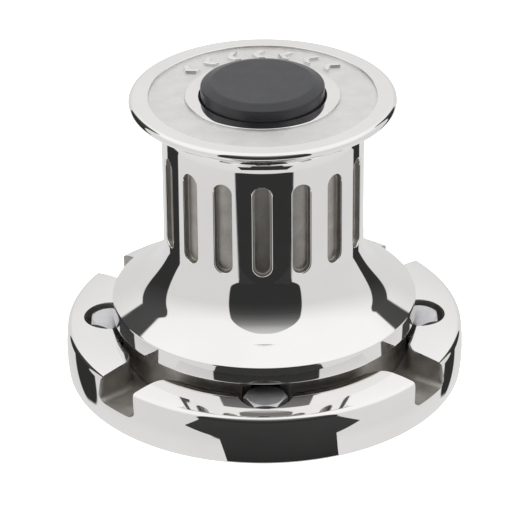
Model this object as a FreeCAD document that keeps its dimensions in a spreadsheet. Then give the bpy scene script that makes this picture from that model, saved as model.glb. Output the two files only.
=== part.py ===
"""Top works of a vertical rope capstan: a mirror-polished drum with a push button in its head, turning on a
keyed shaft above a bolted deck plate.

+Z is up. The origin is at the centre of the underside, on the deck. The side with the front housing bolt
faces -Y. Sizes are in millimetres, angles in degrees. Every outline is a list of (radius, height) points
whose coordinates are sums of named sizes.
"""
import FreeCAD, Part
import math
import os

import Sketcher

SIZES = {
    # deck plate
    "plate_height": 24.4,
    "plate_wall_crown": 0.6,
    "plate_wall_arc": 81.0,
    "plate_shoulder": 2.5,
    "shoulder_run": 2.15,
    "shoulder_rise": 2.48,
    "top_fall": 1.25,
    "top_arc": 129.0,
    "plate_foot": 1.0,
    "cut_margin": 1.0,
    "rim_width": 11.0,
    "channel_lip": 0.4,
    "channel_floor": 11.0,
    # drains through the plate rim
    "drain_half": 10.25,
    "drain_corner": 3.0,
    "drain_mouth": 10.0,
    "drain_left": -47.5,
    "drain_right": 54.5,
    # seal let into the underside
    "deck_seal_depth": 2.5,
    "deck_seal_inset": 3.5,
    "deck_seal_width": 4.0,
    # bearing housing
    "flange_thickness": 7.5,
    "flange_lap": 9.7,
    "seat_gap": 0.2,
    "boss_wall": 4.8,
    "boss_rise": 2.5,
    "floor_thickness": 10.0,
    "hub_wall": 6.0,
    "hub_top": 35.0,
    "pedestal_margin": 1.0,
    "pedestal_taper": 16.0,
    "core_gap": 6.5,
    # housing bolts and their counterbores
    "bolt_radius": 5.0,
    "bolt_inset": 0.7,
    "bolt_hole_gap": 0.3,
    "bolt_head_flats": 8.5,
    "bolt_head_height": 6.4,
    "bolt_head_chamfer": 1.2,
    "bolt_end": 1.0,
    "counterbore_radius": 12.0,
    "counterbore_floor": 15.0,
    "washer_radius": 10.0,
    "washer_thickness": 2.0,
    # tapped lugs for the deck studs
    "stud_hole": 4.25,
    "stud_inset": 11.8,
    "stud_depth": 18.0,
    "stud_lug": 9.0,
    "stud_lug_top": 24.0,
    # lower ball bearing
    "bearing_bottom": 12.0,
    "bearing_width": 18.0,
    "ball_radius": 6.0,
    "ball_gap": 0.06,
    "race_land": 5.2,
    "race_depth": 10.0,
    "cage_half": 1.4,
    "cage_rim": 1.4,
    "housing_clip": 1.75,
    "shaft_clip": 1.6,
    "clip_bite": 1.8,
    "clip_stand": 2.2,
    "clip_opening": 4.5,
    "dust_seal_bottom": 2.6,
    "dust_seal_height": 5.6,
    # upper bush, shaft seal and thrust washer
    "bush_length": 20.0,
    "bush_drop": 27.0,
    "bush_wall": 3.5,
    "seal_height": 6.0,
    "seal_wall": 7.0,
    "running_gap": 0.05,
    "clear_gap": 0.3,
    "thrust_thickness": 1.6,
    "thrust_gap": 2.0,
    "thrust_clear": 1.5,
    "thrust_width": 10.0,
    # main shaft
    "shaft_bottom": 4.0,
    "shaft_lower": 20.0,
    "collar_step": 3.0,
    "collar_height": 4.0,
    "shaft_step": 54.0,
    "middle_step": 2.5,
    "shaft_upper": 14.0,
    "thread_radius": 12.0,
    "thread_relief": 0.5,
    "shaft_drop": 15.2,
    "drive_bore": 12.5,
    "drive_depth": 45.0,
    "drive_key_half": 4.0,
    "drive_key_rise": 3.3,
    "rod_pocket": 9.0,
    "travel_gap": 0.4,
    # key that drives the drum
    "key_width": 8.0,
    "key_height": 7.0,
    "key_length": 14.0,
    "key_sink": 4.0,
    # drum
    "web_thickness": 16.0,
    "web_drop": 45.2,
    "neck_radius": 44.9,
    "neck_wall": 7.0,
    "flare_height": 28.85,
    "flare_bend": 13.4,
    "flare_cone": 5.65,
    "head_height": 16.2,
    "skirt_radius": 68.9,
    "skirt_gap": 1.2,
    "skirt_lift": 3.6,
    "skirt_height": 8.15,
    "skirt_arc": 21.4,
    "skirt_crown": 0.3,
    "skirt_wall": 2.9,
    "skirt_edge": 0.5,
    "lip_edge": 2.1,
    "lip_overhang": 14.1,
    "drum_top": 135.2,
    "recess_depth": 1.2,
    "outer_land": 8.65,
    "inner_land": 6.2,
    "slot_count": 16.0,
    "slot_half_width": 4.15,
    "slot_rise": 3.6,
    "slot_inset": 7.1,
    "slot_depth": 2.8,
    "slot_turn": -1.0,
    # direction marks cast in the recess
    "mark_half_width": 1.5,
    "mark_start": 4.0,
    "mark_reach": 3.8,
    "mark_lean": 3.0,
    "mark_spread": 96.0,
    "mark_count": 7.0,
    # nut and washer that clamp the drum
    "clamp_radius": 24.0,
    "clamp_thickness": 3.0,
    "nut_flats": 18.0,
    "nut_height": 9.0,
    # button pocket
    "mouth_edge": 0.4,
    "button_gap": 0.7,
    "step_width": 2.5,
    "shaft_clear": 1.4,
    "guide_flange": 3.0,
    "guide_wall": 3.6,
    "guide_drop": 1.6,
    "ring_thickness": 1.6,
    "ring_bite": 1.4,
    "ring_stand": 2.6,
    "ring_opening": 6.0,
    "wiper_height": 1.6,
    "wiper_drop": 2.8,
    "wiper_bite": 1.2,
    # button
    "button_radius": 27.3,
    "button_wall": 4.7,
    "button_rim": 4.7,
    "button_rise": 6.5,
    "button_sink": 3.8,
    "button_chamfer": 1.8,
    "button_edge": 0.6,
    "button_crown": 3.0,
    "button_travel": 5.0,
    "rod_radius": 5.0,
    "rod_tip_gap": 0.6,
    "rod_head": 9.0,
    "rod_head_height": 2.4,
    "rod_clip_outer": 7.8,
    "rod_clip_thickness": 1.2,
    "rod_clip_bite": 0.8,
    "rod_clip_opening": 2.5,
    "spring_radius": 7.0,
    "spring_wire": 0.7,
    "spring_turns": 4.0,
}

# sizes that follow from others, as sums
TIES = {
    "boss_radius": "skirt_radius - skirt_wall - skirt_gap",
    "channel_radius": "skirt_radius + channel_lip",
    "bolt_circle": "channel_radius + bolt_inset",
    "flange_radius": "channel_radius + flange_lap",
    "plate_radius": "flange_radius + rim_width",
    "deck_seal_inner": "flange_radius + deck_seal_inset",
    "deck_seal_outer": "deck_seal_inner + deck_seal_width",
    "stud_circle": "boss_radius - stud_inset",
    "bearing_bore": "shaft_lower",
    "ball_circle": "bearing_bore + race_depth",
    "bearing_outer": "ball_circle + race_depth",
    "hub_radius": "bearing_outer + hub_wall",
    "shaft_collar": "shaft_lower + collar_step",
    "shaft_middle": "shaft_lower - middle_step",
    "thrust_inner": "shaft_middle + thrust_clear",
    "thrust_outer": "thrust_inner + thrust_width",
    "pedestal_radius": "thrust_outer + pedestal_margin",
    "pedestal_core": "shaft_middle + core_gap",
    "lip_radius": "neck_radius + lip_overhang",
    "recess_outer": "lip_radius - outer_land",
    "pocket_radius": "button_radius + button_gap",
    "pocket_lower": "pocket_radius - step_width",
    "recess_inner": "pocket_radius + inner_land",
    "mark_inner": "recess_inner + mark_start",
    "mark_middle": "mark_inner + mark_reach",
    "mark_outer": "mark_middle + mark_reach",
    "guide_radius": "button_radius - button_wall",
    "button_flat": "button_radius - button_rim",
    "skirt_bottom": "plate_height + skirt_lift",
    "skirt_top": "skirt_bottom + skirt_height",
    "boss_top": "skirt_bottom + boss_rise",
    "neck_bottom": "skirt_top + flare_height",
    "neck_top": "drum_top - head_height",
    "slot_bottom": "neck_bottom + slot_rise",
    "slot_top": "neck_top - slot_inset",
    "web_bottom": "drum_top - web_drop",
    "pedestal_top": "web_bottom - thrust_gap",
    "bush_bottom": "pedestal_top - bush_drop",
    "shaft_top": "drum_top - shaft_drop",
    "pocket_step": "shaft_top + shaft_clear",
    "rod_pocket_depth": "button_travel + rod_clip_thickness + travel_gap",
    "rod_bottom": "shaft_bottom + drive_depth + rod_tip_gap",
    "wiper_bottom": "drum_top - wiper_drop",
    "guide_top": "drum_top - guide_drop",
    "button_bottom": "drum_top - button_sink",
    "button_top": "drum_top + button_rise",
}
BALL_COUNT = 9
QUARTER_TURNS = (0.0, 90.0, 180.0, 270.0)
STUD_ANGLES = (45.0, 135.0, 225.0, 315.0)
UP_IN_SKETCH = FreeCAD.Vector(0, 1, 0)
V_AXIS = -2
H_AXIS = -1
ORIGIN = (-1, 1)

doc = FreeCAD.newDocument("capstan")
sheet = doc.addObject("Spreadsheet::Sheet", "dims")
for row, (alias, number) in enumerate(SIZES.items(), start=1):
    sheet.set(f"A{row}", alias)
    sheet.set(f"B{row}", str(number))
    sheet.setAlias(f"B{row}", alias)
doc.recompute()

pieces = []


def amount(text):
    """The present value of a sum such as 'plate_height - plate_shoulder + 0.5'."""
    total = 0.0
    sign = 1.0
    for word in text.split():
        if word in ("+", "-"):
            sign = 1.0 if word == "+" else -1.0
            continue
        if word in TIES:
            value = amount(TIES[word])
        else:
            value = SIZES[word] if word in SIZES else float(word)
        total += sign * value
        sign = 1.0
    return total


def formula(text):
    """The same sum, or a product or function, written as an expression on the sheet."""
    words = []
    for word in text.split():
        if word in TIES:
            words.append(f"( {formula(TIES[word])} )")
        else:
            words.append(f"dims.{word}" if word in SIZES else word)
    return " ".join(words)


def bind(item, prop, text):
    item.setExpression(prop, formula(text))


def finish_piece(item, label):
    item.Label = label
    pieces.append(item)
    return item


def new_body(label):
    body = doc.addObject("PartDesign::Body", label + "_body")
    body.AllowCompound = True
    return finish_piece(body, label)


def plane(body, role):
    return next(item for item in body.Origin.OriginFeatures if item.Role == role)


def new_sketch(body, role, name):
    sketch = body.newObject("Sketcher::SketchObject", name)
    sketch.AttachmentSupport = [(plane(body, role), "")]
    sketch.MapMode = "FlatFace"
    return sketch


def arc_centre(start, end, radius):
    """Centre of an arc from start to end: on the left of the way for a positive radius, else on the right."""
    chord_x = end[0] - start[0]
    chord_y = end[1] - start[1]
    chord = math.hypot(chord_x, chord_y)
    rise = math.sqrt(max(radius * radius - chord * chord / 4.0, 0.0))
    side = 1.0 if radius > 0 else -1.0
    return (
        (start[0] + end[0]) / 2.0 - side * rise * chord_y / chord,
        (start[1] + end[1]) / 2.0 + side * rise * chord_x / chord,
    )


def tangent_radius(before, start, end):
    """Radius of the arc that leaves start in the direction before-start and arrives at end."""
    way_x = start[0] - before[0]
    way_y = start[1] - before[1]
    length = math.hypot(way_x, way_y)
    normal = (-way_y / length, way_x / length)
    chord = (end[0] - start[0], end[1] - start[1])
    across = chord[0] * normal[0] + chord[1] * normal[1]
    return (chord[0] ** 2 + chord[1] ** 2) / (2.0 * across)


def edge_of(start, end, bend, before):
    """Line or arc from start to end, with the numbers of its first and last point."""
    first = FreeCAD.Vector(start[0], start[1], 0)
    last = FreeCAD.Vector(end[0], end[1], 0)
    if bend is None:
        return Part.LineSegment(first, last), 1, 2
    if bend == "tangent":
        radius = tangent_radius(before, start, end)
    elif bend.startswith("-"):
        radius = -amount(bend[1:])
    else:
        radius = amount(bend)
    centre = arc_centre(start, end, radius)
    circle = Part.Circle(FreeCAD.Vector(centre[0], centre[1], 0), FreeCAD.Vector(0, 0, 1), abs(radius))
    from_angle = math.atan2(start[1] - centre[1], start[0] - centre[0])
    to_angle = math.atan2(end[1] - centre[1], end[0] - centre[0])
    if radius > 0:
        return Part.ArcOfCircle(circle, from_angle, to_angle), 1, 2
    return Part.ArcOfCircle(circle, to_angle, from_angle), 2, 1


def hold(sketch, kind, geometry, point, text):
    """Ties one coordinate of a point to a sum of sizes."""
    axis = V_AXIS if kind == "DistanceX" else H_AXIS
    if text == "0":
        sketch.addConstraint(Sketcher.Constraint("PointOnObject", geometry, point, axis))
        return
    number = sketch.addConstraint(
        Sketcher.Constraint(kind, ORIGIN[0], ORIGIN[1], geometry, point, amount(text))
    )
    sketch.setExpression(f"Constraints[{number}]", formula(text))


def draw(sketch, outline):
    """Draws a closed outline. A point is (across, up) or (across, up, bend): bend shapes the stretch that
    ends there, as a radius with its centre on the left of the way (minus: on the right), or as an arc that
    is 'tangent' to the stretch before."""
    points = [(amount(point[0]), amount(point[1])) for point in outline]
    bends = [point[2] if len(point) > 2 else None for point in outline]
    count = len(outline)
    ends = []
    for index in range(count):
        after = (index + 1) % count
        edge, first, last = edge_of(points[index], points[after], bends[after], points[index - 1])
        ends.append((sketch.addGeometry(edge, False), first, last))
    for index in range(count):
        after = (index + 1) % count
        this, first, last = ends[index]
        following, start, _ = ends[after]
        kind = "Tangent" if bends[(after + 1) % count] == "tangent" else "Coincident"
        sketch.addConstraint(Sketcher.Constraint(kind, this, last, following, start))
        hold(sketch, "DistanceX", this, first, outline[index][0])
        hold(sketch, "DistanceY", this, first, outline[index][1])
        bend = bends[after]
        if bend not in (None, "tangent"):
            size = bend[1:] if bend.startswith("-") else bend
            number = sketch.addConstraint(Sketcher.Constraint("Radius", this, abs(amount(size))))
            sketch.setExpression(f"Constraints[{number}]", formula(size))


def turned(body, name, *outlines):
    """Adds a solid of revolution about +Z."""
    sketch = new_sketch(body, "XZ_Plane", name + "_outline")
    for outline in outlines:
        draw(sketch, outline)
    solid = body.newObject("PartDesign::Revolution", name)
    solid.Profile = sketch
    solid.ReferenceAxis = (sketch, ["V_Axis"])
    solid.Angle = 360.0
    body.Tip = solid
    return solid


def grooved(body, name, outline):
    """Turns a groove out of the body about +Z."""
    sketch = new_sketch(body, "XZ_Plane", name + "_outline")
    draw(sketch, outline)
    cut = body.newObject("PartDesign::Groove", name)
    cut.Profile = sketch
    cut.ReferenceAxis = (sketch, ["V_Axis"])
    cut.Angle = 360.0
    body.Tip = cut
    return cut


def ring(inner, bottom, outer, top):
    """Outline of a plain ring."""
    return [(inner, bottom), (outer, bottom), (outer, top), (inner, top)]


def turned_piece(label, *outlines):
    body = new_body(label)
    turned(body, label + "_turning", *outlines)
    return body


def cut_down(body, name, outline, top, bottom, turn="0"):
    """Cuts an outline drawn on the horizontal plane, from one height down to another, turned about +Z."""
    sketch = new_sketch(body, "XY_Plane", name + "_outline")
    draw(sketch, outline)
    bind(sketch, ".AttachmentOffset.Base.z", top)
    bind(sketch, ".AttachmentOffset.Rotation.Angle", f"( {turn} ) * 1deg")
    cut = body.newObject("PartDesign::Pocket", name)
    cut.Profile = sketch
    cut.Type = "Length"
    bind(cut, "Length", f"{top} - ( {bottom} )")
    cut.Reversed = False
    body.Tip = cut
    return cut


def around(body, feature, name, count, total="360"):
    """Repeats a feature about +Z."""
    pattern = body.newObject("PartDesign::PolarPattern", name)
    pattern.Originals = [feature]
    pattern.Axis = (plane(body, "Z_Axis"), [""])
    bind(pattern, "Angle", f"( {total} ) * 1deg")
    bind(pattern, "Occurrences", count)
    body.Tip = pattern
    return pattern


def cylinder(name, radius, bottom, top):
    item = doc.addObject("Part::Cylinder", name)
    bind(item, "Radius", radius)
    bind(item, "Height", f"{top} - ( {bottom} )")
    bind(item, ".Placement.Base.z", bottom)
    return item


def moved_out(item, distance, angle):
    """Places an item at a distance from the axis; angle 0 is the front (-Y), positive towards +X."""
    bind(item, ".Placement.Base.x", f"( {distance} ) * sin({angle}deg)")
    bind(item, ".Placement.Base.y", f"-1 * ( {distance} ) * cos({angle}deg)")
    return item


def cut_by(name, base, tool):
    item = doc.addObject("Part::Cut", name)
    item.Base = base
    item.Tool = tool
    return item


def joined(name, items):
    item = doc.addObject("Part::MultiFuse", name)
    item.Shapes = items
    return item


def grouped(label, items):
    """One piece made of separate solids."""
    item = doc.addObject("Part::Compound", label + "_set")
    item.Links = items
    return finish_piece(item, label)


def split_ring(label, inner, bottom, outer, top, opening):
    """A retaining ring with a gap at the back."""
    body = turned_piece(label, ring(inner, bottom, outer, top))
    cut_down(body, label + "_gap", [
        (f"- {opening}", "0"),
        (opening, "0"),
        (opening, f"{outer} + cut_margin"),
        (f"- {opening}", f"{outer} + cut_margin"),
    ], top, bottom)
    return body


def edges_where(body, test):
    """Names of the edges of the body's present shape that pass a test."""
    found = [f"Edge{i}" for i, edge in enumerate(body.Tip.Shape.Edges, start=1) if test(edge)]
    if not found:
        raise RuntimeError(f"{body.Label}: no edge to round")
    return found


def rounded(body, name, radius, test):
    doc.recompute()
    base = body.Tip
    names = edges_where(body, test)
    item = body.newObject("PartDesign::Fillet", name)
    item.Base = (base, names)
    bind(item, "Radius", radius)
    body.Tip = item
    return item


def out_at(point):
    return math.hypot(point.x, point.y)


def is_upright(edge):
    first, last = edge.Vertexes[0].Point, edge.Vertexes[-1].Point
    return out_at(first - last) < 0.01 and abs(first.z - last.z) > 0.1


DRAINS = {
    "front_left": "drain_left",
    "front_right": "drain_right",
    "back_right": "drain_left + 180",
    "back_left": "drain_right + 180",
}


def make_deck_plate():
    """Polished ring: barrel wall, rounded shoulder, top that falls gently outwards, channel, four drains,
    four counterbores, seal groove."""
    wall = "plate_radius - plate_wall_crown"
    top_outer = "plate_height - top_fall"
    shoulder = f"{top_outer} - shoulder_rise"
    seat = "flange_radius + seat_gap"
    body = doc.addObject("PartDesign::Body", "deck_plate_body")
    turned(body, "plate_turning", [
        (seat, "0"),
        (f"{wall} - plate_foot", "0"),
        (wall, "plate_foot", "plate_foot"),
        (wall, shoulder, "plate_wall_arc"),
        (f"{wall} - shoulder_run", top_outer, "plate_shoulder"),
        ("channel_radius", "plate_height", "top_arc"),
        ("channel_radius", "channel_floor"),
        ("boss_radius + seat_gap", "channel_floor"),
        ("boss_radius + seat_gap", "flange_thickness"),
        (seat, "flange_thickness"),
    ])
    grooved(body, "seal_groove", ring("deck_seal_inner", "0", "deck_seal_outer", "deck_seal_depth"))
    reach = "- plate_radius - cut_margin"
    inside = "- boss_radius"
    for name, turn in DRAINS.items():
        cut_down(body, f"drain_{name}", [
            ("- drain_half", reach),
            ("drain_half", reach),
            ("drain_half", inside),
            ("- drain_half", inside),
        ], "plate_height", "channel_floor", turn)
    edge_radius = amount("channel_radius")
    top = amount("plate_height")
    rounded(body, "drain_mouths", "drain_mouth", lambda edge: (
        is_upright(edge)
        and abs(out_at(edge.CenterOfMass) - edge_radius) < 0.05
        and edge.BoundBox.ZMax > top - 0.01
    ))
    floor = amount("channel_floor")
    wall_inside = amount("plate_radius - 5")
    rounded(body, "drain_corners", "drain_corner", lambda edge: (
        max(abs(edge.BoundBox.ZMin - floor), abs(edge.BoundBox.ZMax - floor)) < 0.01
        and all(out_at(vertex.Point) > edge_radius - 0.05 for vertex in edge.Vertexes)
        and min(out_at(vertex.Point) for vertex in edge.Vertexes) < wall_inside
    ))
    cutters = []
    for number, angle in enumerate(QUARTER_TURNS):
        pocket = cylinder(f"plate_counterbore_{number}", "counterbore_radius", "counterbore_floor",
                          "plate_height + cut_margin")
        hole = cylinder(f"plate_hole_{number}", "bolt_radius + bolt_hole_gap", "bolt_end",
                        "plate_height")
        cutters += [moved_out(pocket, "bolt_circle", angle), moved_out(hole, "bolt_circle", angle)]
    return finish_piece(cut_by("plate_drilled", body, joined("plate_cutters", cutters)), "deck_plate")


def make_housing():
    """Cast housing: bottom flange, boss wall under the drum's skirt, hub and pedestal for the bearings."""
    body = doc.addObject("PartDesign::Body", "housing_body")
    turned(body, "housing_turning", [
        ("bearing_outer", "0"),
        ("flange_radius", "0"),
        ("flange_radius", "flange_thickness"),
        ("boss_radius", "flange_thickness"),
        ("boss_radius", "boss_top"),
        ("boss_radius - boss_wall", "boss_top"),
        ("boss_radius - boss_wall", "floor_thickness"),
        ("hub_radius", "floor_thickness"),
        ("hub_radius", "hub_top"),
        ("pedestal_radius", "hub_top + pedestal_taper"),
        ("pedestal_radius", "pedestal_top"),
        ("shaft_middle + seal_wall", "pedestal_top"),
        ("shaft_middle + seal_wall", "pedestal_top - seal_height"),
        ("shaft_middle + bush_wall", "pedestal_top - seal_height"),
        ("shaft_middle + bush_wall", "bush_bottom"),
        ("pedestal_core", "bush_bottom"),
        ("pedestal_core", "hub_top"),
        ("bearing_outer - race_land", "bearing_bottom + bearing_width"),
        ("bearing_outer", "bearing_bottom + bearing_width"),
    ])
    lugs = [body]
    holes = []
    for number, angle in enumerate(STUD_ANGLES):
        lug = cylinder(f"stud_lug_{number}", "stud_lug", "0", "stud_lug_top")
        hole = cylinder(f"stud_hole_{number}", "stud_hole", "0", "stud_depth")
        lugs.append(moved_out(lug, "stud_circle", angle))
        holes.append(moved_out(hole, "stud_circle", angle))
    for number, angle in enumerate(QUARTER_TURNS):
        notch = cylinder(f"boss_notch_{number}", "counterbore_radius", "counterbore_floor",
                         "boss_top + cut_margin")
        tapped = cylinder(f"housing_tapping_{number}", "bolt_radius + running_gap", "0",
                          "counterbore_floor")
        holes += [moved_out(notch, "bolt_circle", angle), moved_out(tapped, "bolt_circle", angle)]
    # the bearing seat and its clip groove stay round where a lug would reach into them
    bore = cylinder("housing_bore", "bearing_outer", "0", "bearing_bottom + bearing_width")
    groove = cylinder("housing_clip_groove", "bearing_outer + clip_bite",
                      "bearing_bottom - housing_clip", "bearing_bottom")
    cast = joined("housing_with_lugs", lugs)
    return finish_piece(
        cut_by("housing_drilled", cast, joined("housing_cutters", holes + [bore, groove])), "bearing_housing"
    )


def make_housing_bolts():
    """Four hexagon screws whose heads stand in the counterbores, and the washers under them."""
    bolts = []
    washers = []
    seat = "counterbore_floor + washer_thickness"
    top = f"{seat} + bolt_head_height"
    for number, angle in enumerate(QUARTER_TURNS):
        hexagon = doc.addObject("Part::Prism", f"bolt_hexagon_{number}")
        hexagon.Polygon = 6
        bind(hexagon, "Circumradius", "bolt_head_flats / cos(30deg)")
        bind(hexagon, "Height", "bolt_head_height")
        bind(hexagon, ".Placement.Base.z", seat)
        cone = doc.addObject("Part::Cone", f"bolt_chamfer_{number}")
        bind(cone, "Radius1", "bolt_head_flats + bolt_head_height * 2 + bolt_head_chamfer")
        bind(cone, "Radius2", "bolt_head_flats")
        bind(cone, "Height", "bolt_head_height + bolt_head_chamfer / 2")
        bind(cone, ".Placement.Base.z", f"{seat} - bolt_head_chamfer / 2")
        head = doc.addObject("Part::Common", f"bolt_head_{number}")
        moved_out(hexagon, "bolt_circle", angle)
        moved_out(cone, "bolt_circle", angle)
        head.Base = hexagon
        head.Tool = cone
        shank = moved_out(cylinder(f"bolt_shank_{number}", "bolt_radius", "bolt_end", seat),
                          "bolt_circle", angle)
        bolts.append(joined(f"bolt_{number}", [head, shank]))
        disc = moved_out(cylinder(f"washer_disc_{number}", "washer_radius", "counterbore_floor", seat),
                         "bolt_circle", angle)
        eye = moved_out(
            cylinder(f"washer_eye_{number}", "bolt_radius + bolt_hole_gap", "counterbore_floor", seat),
            "bolt_circle", angle)
        washers.append(cut_by(f"washer_{number}", disc, eye))
    grouped("housing_bolts", bolts)
    grouped("bolt_washers", washers)


def make_ball_bearing():
    """Deep-groove bearing: two races, nine balls and a cage."""
    bottom = "bearing_bottom"
    top = "bearing_bottom + bearing_width"
    track = "ball_radius + ball_gap"
    races = {
        "bearing_outer_race": ring("bearing_outer - race_land", bottom, "bearing_outer", top),
        "bearing_inner_race": ring("bearing_bore + running_gap", bottom, "bearing_bore + race_land", top),
    }
    for label, outline in races.items():
        blank = doc.addObject("PartDesign::Body", label + "_body")
        turned(blank, label + "_turning", outline)
        groove = doc.addObject("Part::Torus", label + "_track")
        bind(groove, "Radius1", "ball_circle")
        bind(groove, "Radius2", track)
        bind(groove, ".Placement.Base.z", "bearing_bottom + bearing_width / 2")
        finish_piece(cut_by(label + "_ground", blank, groove), label)
    blank = doc.addObject("PartDesign::Body", "cage_body")
    turned(blank, "cage_turning", ring(
        "ball_circle - cage_half", f"{bottom} + cage_rim", "ball_circle + cage_half", f"{top} - cage_rim"
    ))
    balls = []
    pockets = []
    middle = "bearing_bottom + bearing_width / 2"
    for number in range(BALL_COUNT):
        angle = 360.0 * number / BALL_COUNT
        ball = doc.addObject("Part::Sphere", f"ball_{number}")
        bind(ball, "Radius", "ball_radius")
        bind(ball, ".Placement.Base.z", middle)
        balls.append(moved_out(ball, "ball_circle", angle))
        pocket = doc.addObject("Part::Cylinder", f"cage_pocket_{number}")
        bind(pocket, "Radius", "ball_radius + clear_gap")
        bind(pocket, "Height", "ball_circle + cage_half * 2")
        bind(pocket, ".Placement.Base.z", middle)
        outwards = FreeCAD.Rotation(FreeCAD.Vector(0, 0, 1), FreeCAD.Vector(0, -1, 0))
        pocket.Placement.Rotation = FreeCAD.Rotation(FreeCAD.Vector(0, 0, 1), angle) * outwards
        pockets.append(pocket)
    finish_piece(cut_by("cage_pierced", blank, joined("cage_pockets", pockets)), "bearing_cage")
    grouped("bearing_balls", balls)


def make_bearing_trim():
    """Retaining rings, seals, bush and washers on the fixed side and on the shaft."""
    bottom = "bearing_bottom"
    split_ring("housing_clip", "bearing_outer - clip_stand", f"{bottom} - housing_clip",
               "bearing_outer + clip_bite - running_gap", bottom, "clip_opening")
    split_ring("shaft_clip", "shaft_lower - clip_bite + running_gap", f"{bottom} - shaft_clip",
               "shaft_lower + clip_stand", bottom, "clip_opening")
    seal_top = "dust_seal_bottom + dust_seal_height"
    turned_piece("dust_seal", ring("shaft_lower + clear_gap", "dust_seal_bottom", "bearing_outer", seal_top))
    turned_piece("upper_bush", ring("shaft_middle + running_gap", "bush_bottom", "shaft_middle + bush_wall",
                                    "bush_bottom + bush_length"))
    seal_bottom = "pedestal_top - seal_height"
    turned_piece("shaft_seal", [
        ("shaft_middle + clear_gap", f"{seal_bottom} + 2"),
        ("shaft_middle + 2", seal_bottom),
        ("shaft_middle + seal_wall", seal_bottom),
        ("shaft_middle + seal_wall", "pedestal_top"),
        ("shaft_middle + 2", "pedestal_top"),
        ("shaft_middle + clear_gap", "pedestal_top - 2"),
    ])
    turned_piece("thrust_washer", ring("thrust_inner", "web_bottom - thrust_thickness", "thrust_outer",
                                       "web_bottom"))
    turned_piece("deck_seal", ring("deck_seal_inner", "0", "deck_seal_outer", "deck_seal_depth"))


def make_main_shaft():
    """Hollow shaft: keyed drive bore below, bearing seats, keyed drum seat, thread and push-rod hole."""
    bottom = "shaft_bottom"
    ceiling = "shaft_bottom + drive_depth"
    clip_top = "bearing_bottom"
    collar = "bearing_bottom + bearing_width"
    web_top = "web_bottom + web_thickness"
    rod_hole = "rod_radius + clear_gap"
    body = doc.addObject("PartDesign::Body", "shaft_body")
    turned(body, "shaft_turning", [
        ("drive_bore", bottom),
        ("shaft_lower", bottom),
        ("shaft_lower", collar),
        ("shaft_collar", collar),
        ("shaft_collar", f"{collar} + collar_height"),
        ("shaft_lower", f"{collar} + collar_height"),
        ("shaft_lower", "shaft_step - shaft_lower + shaft_middle"),
        ("shaft_middle", "shaft_step"),
        ("shaft_middle", "web_bottom"),
        ("shaft_upper", "web_bottom"),
        ("shaft_upper", f"{web_top} - thread_relief"),
        ("thread_radius", f"{web_top} - thread_relief"),
        ("thread_radius", "shaft_top"),
        ("rod_pocket", "shaft_top"),
        ("rod_pocket", "shaft_top - rod_pocket_depth"),
        (rod_hole, "shaft_top - rod_pocket_depth"),
        (rod_hole, ceiling),
        ("drive_bore", ceiling),
    ])
    grooved(body, "shaft_clip_groove", ring(
        "shaft_lower - clip_bite", f"{clip_top} - shaft_clip", "shaft_lower + clip_bite", clip_top
    ))
    keyway = doc.addObject("Part::Box", "drive_keyway")
    bind(keyway, "Length", "drive_key_half * 2")
    bind(keyway, "Width", "drive_bore + drive_key_rise")
    bind(keyway, "Height", "drive_depth")
    bind(keyway, ".Placement.Base.x", "-1 * drive_key_half")
    bind(keyway, ".Placement.Base.z", bottom)
    seat = key_block("shaft_key_seat", "0")
    return finish_piece(cut_by("shaft_keyed", body, joined("shaft_keyways", [keyway, seat])), "main_shaft")


def key_block(name, gap):
    """A parallel key, or the same block with a gap all round for its seat, on the -Y side of the shaft."""
    block = doc.addObject("Part::Box", name)
    bind(block, "Length", f"key_width + {gap} * 2")
    bind(block, "Width", f"key_height + {gap} * 2")
    bind(block, "Height", f"key_length + {gap} * 2")
    bind(block, ".Placement.Base.x", f"-1 * key_width / 2 - {gap}")
    bind(block, ".Placement.Base.y", f"-1 * shaft_upper + key_sink - key_height - {gap}")
    bind(block, ".Placement.Base.z", f"web_bottom + ( web_thickness - key_length ) / 2 - {gap}")
    return block


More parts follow.
